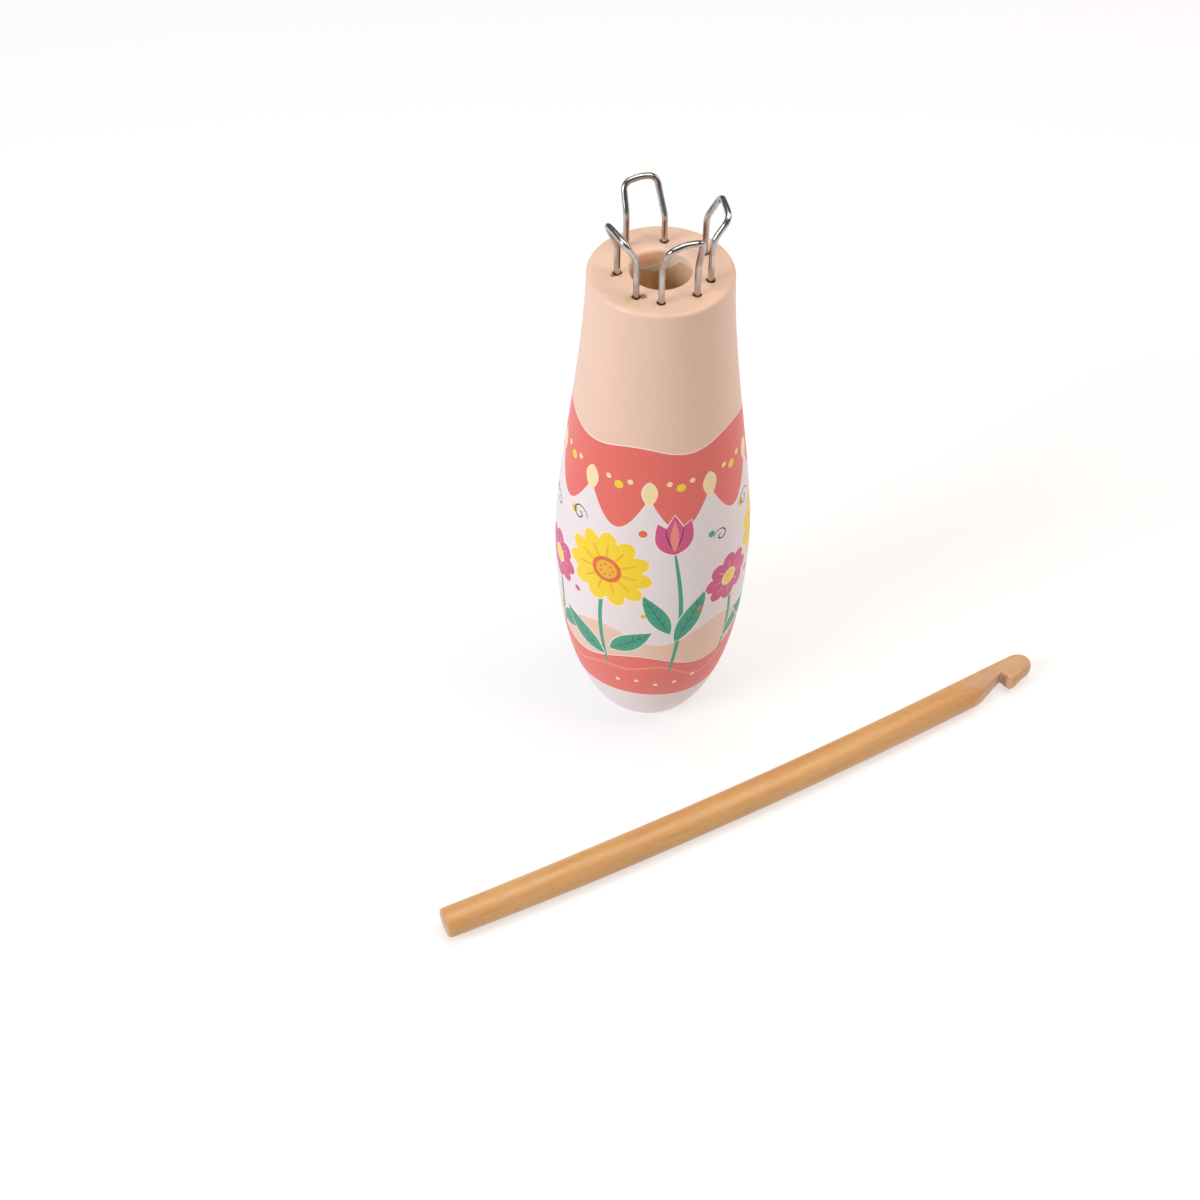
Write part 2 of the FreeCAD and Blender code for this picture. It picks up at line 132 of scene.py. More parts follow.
def stretchedNoise(tree, scale, detail, turn=0.0):
    # noise on Object coordinates, stretched by its three scales and turned about Z
    where = addNode(tree, "ShaderNodeTexCoord").outputs["Object"]
    turned = addNode(tree, "ShaderNodeVectorRotate", {"rotation_type": "Z_AXIS"},
                     {"Vector": where, "Angle": turn})
    mapped = addNode(tree, "ShaderNodeMapping", {"vector_type": "POINT"},
                     {"Vector": turned.outputs[0], "Scale": scale})
    return addNode(tree, "ShaderNodeTexNoise", inputs={
        "Vector": mapped.outputs[0], "Scale": 1.0, "Detail": detail, "Roughness": 0.55}).outputs[0]


def eased(value, start, span):
    # 0 up to the start, 1 past the span, and even between them
    return min(1.0, max(0.0, (value - start) / span))


def remap(tree, value, fromLow, fromHigh, toLow, toHigh):
    return addNode(tree, "ShaderNodeMapRange", inputs={
        "Value": value, "From Min": fromLow, "From Max": fromHigh,
        "To Min": toLow, "To Max": toHigh}).outputs[0]


def mixColour(tree, factor, first, second, blend="MIX"):
    return addNode(tree, "ShaderNodeMix", {"data_type": "RGBA", "blend_type": blend},
                   {0: factor, 6: first, 7: second}).outputs[2]


# the turned body: its profile is a closed run of (radius, height), in mm

bodyLow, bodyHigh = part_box("dolly_body")
bodyPlan = {
    "height": bodyHigh.z / mm,
    "bellyRadius": (bodyHigh.x - bodyLow.x) / 2 / mm,
    "bellyHeight": 48.3,
    "baseRadius": 11.6,
    "topRadius": 13.75,
    "baseLean": (8.5, 12.7),       # how far out and up the side's lowest pull reaches
    "bellyPull": (12.3, 16.0),     # upright pull below and above the belly
    "neckLean": (0.5, 21.0),
    "baseRounding": 1.2,
    "topRounding": 0.8,
    "boreRadius": 5.7,
    "mouthRounding": 0.5,
    "footRounding": 0.2,           # the bore's lower edge, eased by sanding
    "rowStep": 1.1,                # between the sheet's rows on the side
    "topStep": 0.5,
    "boreStep": 3.5,
    "columns": 132,
}


def cubicRun(poles, count):
    def at(share):
        rest = 1 - share
        parts = (rest ** 3, 3 * rest ** 2 * share, 3 * rest * share ** 2, share ** 3)
        return tuple(sum(part * pole[axis] for part, pole in zip(parts, poles)) for axis in (0, 1))
    return [at(place / count) for place in range(count + 1)]


def easedCorner(before, corner, after, radius, steps=7):
    # an arc of that radius in place of the corner, tangent to both its sides
    corner = Vector(corner)
    back = (Vector(before) - corner).normalized()
    ahead = (Vector(after) - corner).normalized()
    half = back.angle(ahead) / 2
    middle = corner + (back + ahead).normalized() * (radius / math.sin(half))
    first = corner + back * (radius / math.tan(half)) - middle
    turn = math.pi - 2 * half
    if first.cross(corner + ahead * (radius / math.tan(half)) - middle) < 0:
        turn = -turn
    return [tuple(middle + Matrix.Rotation(turn * place / steps, 2) @ first) for place in range(steps + 1)]


def spacedRun(start, end, step):
    # the points between two corners, both left out
    count = max(2, round((Vector(end) - Vector(start)).length / step))
    return [tuple(Vector(start).lerp(Vector(end), place / count)) for place in range(1, count)]


def turnedProfile(plan):
    height, belly = plan["height"], plan["bellyRadius"]
    lower = cubicRun([
        (plan["baseRadius"], 0),
        (plan["baseRadius"] + plan["baseLean"][0], plan["baseLean"][1]),
        (belly, plan["bellyHeight"] - plan["bellyPull"][0]),
        (belly, plan["bellyHeight"])], round(plan["bellyHeight"] / plan["rowStep"]))
    upper = cubicRun([
        (belly, plan["bellyHeight"]),
        (belly, plan["bellyHeight"] + plan["bellyPull"][1]),
        (plan["topRadius"] + plan["neckLean"][0], height - plan["neckLean"][1]),
        (plan["topRadius"], height)], round((height - plan["bellyHeight"]) / plan["rowStep"]))
    bore = plan["boreRadius"]
    baseRim = easedCorner((0, 0), lower[0], lower[1], plan["baseRounding"])
    topRim = easedCorner(upper[-2], upper[-1], (0, height), plan["topRounding"])
    mouth = easedCorner((belly, height), (bore, height), (bore, 0), plan["mouthRounding"])
    foot = easedCorner((bore, height), (bore, 0), (belly, 0), plan["footRounding"])
    run = foot[-1:] + spacedRun(foot[-1], baseRim[0], 1.5) + baseRim + lower[2:] + upper[1:-1] + topRim
    run += spacedRun(topRim[-1], mouth[0], plan["topStep"]) + mouth
    run += spacedRun(mouth[-1], foot[0], plan["boreStep"]) + foot
    return run


profile = turnedProfile(bodyPlan)
lengths = [0.0]
for before, after in zip(profile, profile[1:]):
    lengths.append(lengths[-1] + (Vector(after) - Vector(before)).length)
topStart = max(range(len(profile)), key=lambda place: (profile[place][1], profile[place][0]))
mouthEnd = next(place for place in range(topStart, len(profile))
                if profile[place][0] < bodyPlan["boreRadius"] + 0.001)
print("profile:", len(profile), "points,", round(lengths[-1], 1), "mm round")


def alongSide(height):
    # how far along the profile the side reaches that height
    for place in range(len(profile)):
        if profile[place + 1][1] >= height and profile[place][0] > bodyPlan["topRadius"] - 3:
            share = (height - profile[place][1]) / (profile[place + 1][1] - profile[place][1])
            return lengths[place] + share * (lengths[place + 1] - lengths[place])


def radiusAt(along):
    for place in range(len(profile) - 1):
        if lengths[place + 1] >= along:
            share = (along - lengths[place]) / (lengths[place + 1] - lengths[place])
            return profile[place][0] + share * (profile[place + 1][0] - profile[place][0])
    return profile[-1][0]


# the print: outlines on a flat sheet, whose width goes once round the body

sheetRadius = bodyPlan["bellyRadius"]
sheetHalf = math.pi * sheetRadius
printPlan = {
    "turn": math.radians(-135),    # where round the body the middle of the sheet lies
    "lineSteps": 240,
    "plainTop": 3,                 # how far below the top the plain paint's own band begins
    "plainFoot": 3.2,
    "garland": {"top": 86.5, "wave": (0.9, 5, 0.6), "foot": 77.0, "swags": 9, "drop": 9.5},
    "tassel": {"long": 6.2, "wide": 3.2, "point": 0.8, "lift": 2.8, "inner": (0.86, 0.92, 0.2)},
    "pearl": {"size": 0.95, "lift": 1.0, "sideSize": 0.6, "sideLift": 2.2, "aside": 7.5},
    "hills": {"top": 27.5, "wave": (2.4, 4, 0.4), "foot": 13.6, "footWave": (0.8, 3, 1.0)},
    "ripple": {"above": 1.6, "depths": (3.4, 4.2), "wave": 1.1, "count": 8},
    "meadow": {"top": 36.5, "wave": (2.2, 5, 2.1)},
    "edge": 0.28,                  # the pale edge that shows round each printed colour
    "repeats": 3,
    "bigFlower": {
        "angle": -4, "height": 55.5, "size": 9.9, "petals": 11,
        "petal": "yellow", "vein": "golden", "ring": "orange", "heart": "golden"},
    "smallFlower": {
        "angle": 74, "height": 49.0, "size": 6.6, "petals": 8,
        "petal": "magenta", "vein": "coralLight", "ring": "cream", "heart": "yellow"},
    "tulip": {"angle": 36, "height": 61.5, "size": 9.0},
    "stem": 0.9,
    "plants": [                    # flower, its stem's foot, extra height and bow, and its leaves
        ("bigFlower", 25, 0, 1.3, [(-2, 28, 13.5, 5.2, 52), (2, 31, 12.0, 4.8, -50)]),
        ("smallFlower", 25, 0, -1.0, [(1, 29, 10.5, 4.4, -48)]),
        ("tulip", 24, 1, -1.6, [(2, 35, 16.0, 4.6, -24), (-1, 38, 14.0, 4.2, 26)]),
    ],
    "curls": [("bigFlower", -23, 66.0, 2.3, 1), ("smallFlower", -7, 62.5, 1.9, -1)],
    "dots": [                      # angle, height, size, colour
        (17, 67, 0.9, "orange"), (-25, 45, 0.8, "magenta"), (60, 64, 0.8, "green"),
        (53, 44, 0.7, "orange"), (88, 66, 0.9, "golden"), (19, 44, 0.6, "golden"),
    ],
    "beads": {"count": 5, "first": 6, "step": 13, "height": 19.5, "wave": 0.8, "size": 0.55},
}
flowerPlan = {                     # all against the flower's size
    "petalAt": 0.62,               # where the petals are as wide as their share of the ring
    "overlap": 1.25,
    "vein": (0.3, 0.68),
    "veinWidth": 0.055,
    "ring": 0.34,
    "heart": 0.24,
    "seeds": 7,
    "seedsOut": 0.14,
    "seed": 0.03,
}
printColours = {
    "peach": "#E9C5AE", "coral": "#E5695D", "coralLight": "#EE8A78", "white": "#E9DFDF",
    "base": "#E6D9D9", "edge": "#F8E3DA", "yellow": "#F6D315", "golden": "#EDB31C",
    "orange": "#E2692F", "magenta": "#D14D83", "green": "#2E9E80", "darkGreen": "#1E6F5F",
    # run: the paint that ran into the bore is real; its redder tint is painted light bounced between paint
    # and wood
    "black": "#2F2A2B", "cream": "#F6E0A4", "bare": "#C9A57B", "primer": "#F6E8D6", "run": "#F2BC9C",
}
sheetOutlines = []                 # (outline, colour name), later ones lie over earlier ones


def trimmed(outline):
    # the part of an outline that lies between the two ends of the sheet
    for sign in (1, -1):
        kept = []
        for (x, y), (lastX, lastY) in zip(outline, outline[-1:] + outline[:-1]):
            inside, wasInside = sign * x <= sheetHalf, sign * lastX <= sheetHalf
            if inside != wasInside:
                share = (sign * sheetHalf - lastX) / (x - lastX)
                kept.append((sign * sheetHalf, lastY + share * (y - lastY)))
            if inside:
                kept.append((x, y))
        outline = kept
    return outline


def lay(outline, colour):
    # what runs over one end of the sheet goes on at its other end; the inside is kept on the left
    for shift in (0, -2 * sheetHalf, 2 * sheetHalf):
        kept = trimmed([(x + shift, y) for x, y in outline])
        area = sum(x * nextY - nextX * y for (x, y), (nextX, nextY) in zip(kept, kept[1:] + kept[:1]))
        if abs(area) > 1e-4:
            sheetOutlines.append((kept if area > 0 else kept[::-1], colour))


def placed(outline, angle, height, tilt=0.0):
    # an outline in mm about its own middle, put on the sheet in true proportion
    middleX = math.radians(angle) * sheetRadius
    middleY = alongSide(height)
    stretch = sheetRadius / radiusAt(middleY)
    turned = Matrix.Rotation(math.radians(tilt), 2)
    spots = [turned @ Vector(spot) for spot in outline]
    return [(middleX + spot.x * stretch, middleY + spot.y) for spot in spots]


def band(lowEdge, highEdge):
    # a closed outline that runs once round the sheet between two edges given by angle
    steps = printPlan["lineSteps"]
    angles = [math.pi * (2 * place / steps - 1) for place in range(steps + 1)]
    low = [(angle * sheetRadius, lowEdge(angle)) for angle in angles]
    high = [(angle * sheetRadius, highEdge(angle)) for angle in reversed(angles)]
    return low + high


def oval(wide, tall, steps=28):
    return [(wide * math.cos(2 * math.pi * place / steps), tall * math.sin(2 * math.pi * place / steps))
            for place in range(steps)]


def leafShape(long, wide, point=1.0, steps=14):
    # from the origin upwards, widest a little below its middle
    def half(share):
        return wide / 2 * math.sin(math.pi * share ** 0.85) ** point
    rising = [(half(place / steps), long * place / steps) for place in range(steps + 1)]
    return rising + [(-x, y) for x, y in reversed(rising[1:-1])]


def petalShape(long, wide, steps=16):
    # narrow at its foot and round at its tip
    def half(share):
        return wide / 2 * math.sqrt(max(0.0, math.sin(math.pi * share ** 1.7)))
    rising = [(half(place / steps), long * place / steps) for place in range(steps + 1)]
    return rising + [(-x, y) for x, y in reversed(rising[1:-1])]


def strip(line, wide):
    # a stroke of a pen along a line, thinner at its ends
    sides = ([], [])
    for place, here in enumerate(line):
        way = Vector(line[min(place + 1, len(line) - 1)]) - Vector(line[max(place - 1, 0)])
        across = Vector((-way.y, way.x)).normalized()
        reach = wide / 2 * (0.35 + 0.65 * math.sin(math.pi * place / (len(line) - 1)) ** 0.5)
        for side, sign in zip(sides, (1, -1)):
            side.append(tuple(Vector(here) + across * reach * sign))
    return sides[0] + sides[1][::-1]


def bowLine(start, end, bow, steps=14):
    start, end = Vector(start), Vector(end)
    across = Vector((start.y - end.y, end.x - start.x)).normalized() * bow
    return [tuple(start.lerp(end, place / steps) + across * math.sin(math.pi * place / steps))
            for place in range(steps + 1)]


def layFlower(angle, spec):
    height, size, petals = spec["height"], spec["size"], spec["petals"]
    width = size * flowerPlan["petalAt"] * 2 * math.sin(math.pi / petals) * flowerPlan["overlap"]
    for grow, colour in ((printPlan["edge"], "edge"), (0.0, spec["petal"])):
        for place in range(petals):
            shape = petalShape(size + grow, width + 2 * grow)
            lay(placed(shape, angle, height, tilt=360 * place / petals), colour)
    foot, tip = flowerPlan["vein"]
    vein = strip(bowLine((0, size * foot), (0, size * tip), 0.0, 4), size * flowerPlan["veinWidth"])
    for place in range(petals):
        lay(placed(vein, angle, height, tilt=360 * place / petals), spec["vein"])
    for part in ("ring", "heart"):
        lay(placed(oval(size * flowerPlan[part], size * flowerPlan[part]), angle, height), spec[part])
    out, seed = size * flowerPlan["seedsOut"], size * flowerPlan["seed"]
    for place in range(flowerPlan["seeds"]):
        turn = 2 * math.pi * place / flowerPlan["seeds"]
        spot = [(x + out * math.cos(turn), y + out * math.sin(turn)) for x, y in oval(seed, seed, 8)]
        lay(placed(spot, angle, height), spec["ring"])


def layLeaf(angle, height, long, wide, tilt):
    edge = printPlan["edge"]
    lay(placed([(x, y - edge) for x, y in leafShape(long + 2 * edge, wide + 2 * edge)],
               angle, height, tilt=tilt), "edge")
    lay(placed(leafShape(long, wide), angle, height, tilt=tilt), "green")
    lay(placed(strip(bowLine((0, long * 0.06), (0, long * 0.9), 0.0, 6), 0.32),
               angle, height, tilt=tilt), "darkGreen")
    for place in range(1, 5):
        for side in (1, -1):
            foot = (0, long * (0.1 + 0.15 * place))
            tip = (side * wide * 0.27, foot[1] + long * 0.13)
            lay(placed(strip(bowLine(foot, tip, -0.1 * side, 4), 0.2), angle, height, tilt=tilt), "darkGreen")


def layStem(angle, low, high, bow):
    rise = alongSide(high) - alongSide(low)
    line = bowLine((0, 0), (0, rise), bow)
    lay(placed(strip(line, printPlan["stem"]), angle, low), "green")


def layTulip(angle, spec):
    height, size = spec["height"], spec["size"]
    edge = printPlan["edge"]
    for grow, shade in ((edge, "edge"), (0.0, "magenta")):
        for tilt, long in ((24, 1.0), (-24, 1.0), (0, 1.12)):
            shape = [(x, y - grow) for x, y in leafShape(size * long + 2 * grow, size * 0.5 + 2 * grow)]
            lay(placed(shape, angle, height, tilt=tilt), shade)
    lay(placed(leafShape(size * 0.9, size * 0.2), angle, height + 0.8), "coralLight")
    for tilt in (15, -15):
        line = bowLine((0, size * 0.2), (0, size * 0.78), 0.35 * (1 if tilt > 0 else -1), 8)
        lay(placed(strip(line, 0.26), angle, height, tilt=tilt), "black")


def layCurl(angle, height, size, side):
    # a tendril: a spiral drawn with a fine pen
    turns = [2.6 * math.pi * place / 36 for place in range(37)]
    line = [(side * size * (1 - turn / 9.2) * math.cos(turn), size * (1 - turn / 9.2) * math.sin(turn))
            for turn in turns]
    lay(placed(strip(line, 0.34), angle, height), "black")


def layPrint(plan):
    garland, hills, meadow, ripple = (plan[name] for name in ("garland", "hills", "meadow", "ripple"))
    edge = plan["edge"]

    def level(height):
        along = alongSide(height)
        return lambda angle: along

    def wave(height, swing):
        # a level line with a swing of (reach, waves round the body, phase)
        along = alongSide(height)
        reach, count, phase = swing
        return lambda angle: along + reach * math.sin(count * angle + phase)

    def raised(line, rise):
        return lambda angle: line(angle) + rise

    def swag(angle):
        rise = abs(math.cos(garland["swags"] * angle / 2))
        return alongSide(garland["foot"]) - garland["drop"] * math.sqrt(rise) * (0.55 + 0.45 * rise)

    paintTop = level(bodyPlan["height"] - plan["plainTop"])
    lay(band(lambda angle: lengths[1], paintTop), "base")
    lay(band(paintTop, lambda angle: lengths[mouthEnd] - 0.001), "peach")
    garlandTop = wave(garland["top"], garland["wave"])
    hillFoot = wave(hills["foot"], hills["footWave"])
    hillTop = wave(hills["top"], hills["wave"])
    meadowTop = wave(meadow["top"], meadow["wave"])
    lay(band(garlandTop, paintTop), "peach")
    lay(band(hillFoot, garlandTop), "white")
    lay(band(level(hills["foot"]), raised(meadowTop, edge)), "edge")
    lay(band(level(hills["foot"]), meadowTop), "peach")
    lay(band(level(plan["plainFoot"]), hillFoot), "base")
    lay(band(raised(hillFoot, -edge), raised(hillTop, edge)), "edge")
    lay(band(hillFoot, hillTop), "coral")
    for depth, colour in zip(ripple["depths"], ("coralLight", "coral")):
        def rippled(angle):
            return hillTop(angle) - depth - ripple["wave"] * math.sin(ripple["count"] * angle)
        lay(band(raised(hillFoot, ripple["above"]), rippled), colour)
    lay(band(raised(swag, -edge), raised(garlandTop, edge)), "edge")
    lay(band(swag, garlandTop), "coral")

    tassel, pearl = plan["tassel"], plan["pearl"]
    drop = leafShape(tassel["long"], tassel["wide"], tassel["point"])
    narrow, short, sink = tassel["inner"]
    for place in range(garland["swags"]):
        mid = 360 / garland["swags"] * (place + 0.5) - 180
        hang = (mid + 360 / garland["swags"] / 2 + 180) % 360 - 180
        lay(placed([(x, -y) for x, y in drop], hang, garland["foot"] + tassel["lift"]), "edge")
        lay(placed([(x * narrow, -y * short - sink) for x, y in drop],
                   hang, garland["foot"] + tassel["lift"]), "cream")
        lay(placed(oval(pearl["size"], pearl["size"], 16), mid, garland["foot"] + pearl["lift"]), "yellow")
        for side in (-1, 1):
            lay(placed(oval(pearl["sideSize"], pearl["sideSize"], 12), mid + side * pearl["aside"],
                       garland["foot"] + pearl["sideLift"]), "cream")

    beads = plan["beads"]
    for turn in range(plan["repeats"]):
        shift = 360 / plan["repeats"] * (turn - 1)
        for name, foot, extra, bow, leaves in plan["plants"]:
            at = plan[name]["angle"] + shift
            layStem(at, foot, plan[name]["height"] + extra, bow)
            for aside, height, long, wide, tilt in leaves:
                layLeaf(at + aside, height, long, wide, tilt)
        for name in ("bigFlower", "smallFlower"):
            layFlower(plan[name]["angle"] + shift, plan[name])
        layTulip(plan["tulip"]["angle"] + shift, plan["tulip"])
        for name, aside, height, size, side in plan["curls"]:
            layCurl(plan[name]["angle"] + shift + aside, height, size, side)
        for angle, height, size, colour in plan["dots"]:
            at = (angle + shift + 180) % 360 - 180
            lay(placed(oval(size, size, 14), at, height), colour)
        for place in range(beads["count"]):
            at = plan["bigFlower"]["angle"] + shift + beads["first"] + beads["step"] * place
            height = beads["height"] + beads["wave"] * math.sin(place * 2.0)
            lay(placed(oval(beads["size"], beads["size"], 10), at, height), "cream")


# wire loops: named as in the frame, each bent by hand

legPlan = {
    "wireDiameter": 1.2,
    "legDepth": 12.0,
    "kinkRadius": 4.0,
    "firstCorner": 0.29,           # radii of the bends along the top, against its length
    "crownBend": 1.0,
    "wobble": 0.05,
    "mouthRadius": 0.86,
    "mouthDepth": 0.45,
    "holeRadius": 0.66,
    "holeDepth": 1.6,
    "rimPoints": 22,
    "rimRagged": 0.2,
    "rings": 7,                    # rings of points in the sheet about each hole
    "ringPoints": 24,
    "ringStart": 0.95,
    "ringStep": 0.28,
    "sides": 20,
    "bendSteps": 8,
    "step": 0.35,
    "seedStep": 3.1,
}
loopPlan = {
    "front": {"angle": 269.6, "setOut": 3.32, "aside": 0.06, "gap": 6.93, "kinks": (7.6, 6.55),
              "width": 7.73, "height": 13.8, "lean": 2.34, "topAside": -0.09,
              "tilt": 0.62, "crown": 0.57, "twist": -0.1, "secondCorner": 0.2},
    "right": {"angle": 345.3, "setOut": 2.93, "aside": 0.12, "gap": 8.11, "kinks": (8.4, 7.9),
              "width": 7.92, "height": 13.1, "lean": 2.75, "topAside": 0.81,
              "tilt": 0.1, "crown": 0.3, "twist": -0.5, "secondCorner": 0.2},
    "back": {"angle": 82.5, "setOut": 2.64, "aside": 0.99, "gap": 7.33, "kinks": (5.25, 7.0),
             "width": 7.47, "height": 13.15, "lean": 3.12, "topAside": 1.47,
             "tilt": -0.6, "crown": 0.54, "twist": -0.3, "secondCorner": 0.3},
    "left": {"angle": 186.1, "setOut": 2.01, "aside": 1.27, "gap": 7.7, "kinks": (6.3, 7.9),
             "width": 8.52, "height": 12.72, "lean": 2.47, "topAside": 1.37,
             "tilt": -0.1, "crown": 0.12, "twist": -0.3, "secondCorner": 0.2},
}


def legSpots(plan):
    # where a loop's two legs enter the top, seen from above, in mm
    turned = Matrix.Rotation(math.radians(plan["angle"]), 2)
    out = bodyPlan["boreRadius"] + plan["setOut"]
    return [turned @ Vector((out, plan["aside"] + sign * plan["gap"] / 2)) for sign in (-1, 1)]


def topToSheet(spot):
    # a place on the flat top, in mm, as a place on the sheet
    angle = math.atan2(spot[1], spot[0]) - printPlan["turn"]
    angle = (angle + math.pi) % (2 * math.pi) - math.pi
    reach = math.hypot(spot[0], spot[1])
    return angle * sheetRadius, lengths[topStart] + profile[topStart][0] - reach


wearPlan = {
    "chips": [                     # loop, leg, way from the leg in degrees, distance, size, how dark
        ("left", 1, -18, 1.3, 0.85, 1.0), ("left", 0, 200, 1.0, 0.6, 0.9),
        ("back", 0, -25, 0.95, 0.45, 0.7), ("right", 0, 10, 0.95, 0.42, 0.55),
        ("right", 1, 75, 1.0, 0.4, 0.5), ("front", 1, 140, 0.85, 0.35, 0.4),
    ],
    "stains": [                    # the same, for the yellow of old glue
        ("left", 1, 200, 1.6, 1.1, 0.55), ("left", 1, 250, 2.4, 0.9, 0.3),
        ("left", 0, -60, 0.9, 0.7, 0.5), ("front", 1, 260, 1.1, 0.9, 0.55),
        ("right", 0, 250, 0.9, 0.7, 0.4), ("back", 1, 250, 1.0, 0.9, 0.35),
    ],
    "run": {                       # paint that ran over the bore's mouth, which is worn there
        "middle": 98, "half": 50, "depth": 2.7, "soft": 1.3, "widen": 0.7, "sink": 0.4},
    "primer": {"middle": 78, "half": 55, "depth": 4.3},    # the white undercoat that shows below it
    "bevel": {"middle": 33, "half": 52, "depth": 1.25},    # and where the mouth's edge is worn to it
    "edgeShort": 0.12,             # how far short of the bore's straight wall the paint ends
    "edgeRagged": 0.09,
    "primerRagged": 0.12,
}


def nearness(angle, spec):
    # from 1 in the middle of a worn stretch of the mouth to 0 at its ends, by the sheet's angle
    at = math.degrees(angle + printPlan["turn"])
    off = abs((at - spec["middle"] + 180) % 360 - 180)
    return max(0.0, 1 - (off / spec["half"]) ** 2)


def raggedAt(angle, lumps, layer):
    # the same unevenness each run, closed round the bore
    return noise.noise(Vector((math.cos(angle) * lumps, math.sin(angle) * lumps, layer)))


def mouthLevel(angle):
    # how far along the profile the paint reaches into the bore where nothing ran
    return lengths[mouthEnd] - wearPlan["edgeShort"] + wearPlan["edgeRagged"] * raggedAt(angle, 5, 0.3)


def runEdge(angle):
    run = wearPlan["run"]
    return mouthLevel(angle) + 0.01 + run["depth"] * nearness(angle, run) ** 0.7


def primerEdge(angle):
    uneven = 1 + wearPlan["primerRagged"] * raggedAt(angle, 4, 1.7)
    worn = max(wearPlan[name]["depth"] * nearness(angle, wearPlan[name]) for name in ("primer", "bevel"))
    return max(runEdge(angle) + 0.04, mouthLevel(angle) + worn * uneven)


def layTop():
    lay(band(primerEdge, lambda angle: lengths[-2]), "bare")
    lay(band(runEdge, primerEdge), "primer")
    # the paint that ran into the bore, its redder tint painted bounce light
    lay(band(mouthLevel, runEdge), "run")
    lay(band(lambda angle: lengths[0], lambda angle: lengths[1]), "bare")
    for number, plan in enumerate(loopPlan.values()):
        for leg, spot in enumerate(legSpots(plan)):
            rim = []
            for place in range(legPlan["rimPoints"]):
                turn = 2 * math.pi * place / legPlan["rimPoints"]
                ragged = raggedAt(turn, 1.6, number * 3 + leg)
                reach = legPlan["mouthRadius"] * (1 + legPlan["rimRagged"] * ragged)
                rim.append(topToSheet(spot + Vector((math.cos(turn), math.sin(turn))) * reach))
            lay(rim, "hole")


def sheetGrid():
    # points that carry the sheet round the body, with more about each wire's hole
    columns = bodyPlan["columns"]
    spots = []
    for row, along in enumerate(lengths):
        for column in range(columns + 1):
            shift = 0.5 if row % 2 and 0 < column < columns and row < len(lengths) - 1 else 0.0
            spots.append((sheetHalf * (2 * (column + shift) / columns - 1), along))
    for plan in loopPlan.values():
        for spot in legSpots(plan):
            for ring in range(1, legPlan["rings"] + 1):
                reach = legPlan["ringStart"] + legPlan["ringStep"] * ring
                for place in range(legPlan["ringPoints"]):
                    turn = 2 * math.pi * (place + 0.5 * (ring % 2)) / legPlan["ringPoints"]
                    near = topToSheet(spot + Vector((math.cos(turn), math.sin(turn))) * reach)
                    if lengths[topStart] < near[1] < lengths[mouthEnd] - 0.8:
                        spots.append(near)
    return spots


def softSpots(spots, where):
    # how strongly a place on the top is marked by the soft spots in the list
    strength = 0.0
    for loop, leg, way, reach, size, power in spots:
        middle = legSpots(loopPlan[loop])[leg]
        middle = middle + Vector((math.cos(math.radians(way)), math.sin(math.radians(way)))) * reach
        off = (where - middle).length / size
        strength = max(strength, power * math.exp(-off * off * 1.2))
    return strength


def makeSheet():
    # the flat sheet: every printed outline cut into it, each face with its colour
    layPrint(printPlan)
    layTop()
    corners, outlines = list(sheetGrid()), []
    for outline, colour in sheetOutlines:
        outlines.append(list(range(len(corners), len(corners) + len(outline))))
        corners += outline
    spots, _, faces, _, _, sources = delaunay_2d_cdt(
        [Vector(corner) for corner in corners], [], outlines, 0, 1e-5, True)
    mesh = bpy.data.meshes.new("printedSheet")
    kept, colours, bare = [], [], []
    for face, source in zip(faces, sources):
        name = sheetOutlines[max(source)][1] if source else "peach"
        if name == "hole":
            continue
        kept.append(face)
        colours.append(hexPaint(printColours[name]))
        bare.append(name == "bare")
    mesh.from_pydata([(spot.x * mm, spot.y * mm, 0) for spot in spots], [], kept)
    tint = mesh.color_attributes.new("printColour", "FLOAT_COLOR", "CORNER")
    bareWood = mesh.attributes.new("bareWood", "BOOLEAN", "FACE")
    for polygon, colour, isBare in zip(mesh.polygons, colours, bare):
        bareWood.data[polygon.index].value = isBare
        for corner in polygon.loop_indices:
            tint.data[corner].color = colour
    marks = {name: mesh.attributes.new(name, "FLOAT", "POINT") for name in ("chip", "stain")}
    for place, spot in enumerate(spots):
        if lengths[topStart] < spot.y < lengths[mouthEnd]:
            angle = spot.x / sheetRadius + printPlan["turn"]
            reach = lengths[topStart] + profile[topStart][0] - spot.y
            where = Vector((math.cos(angle), math.sin(angle))) * reach
            marks["chip"].data[place].value = softSpots(wearPlan["chips"], where)
            marks["stain"].data[place].value = softSpots(wearPlan["stains"], where)
    return newObject("printedSheet", mesh)


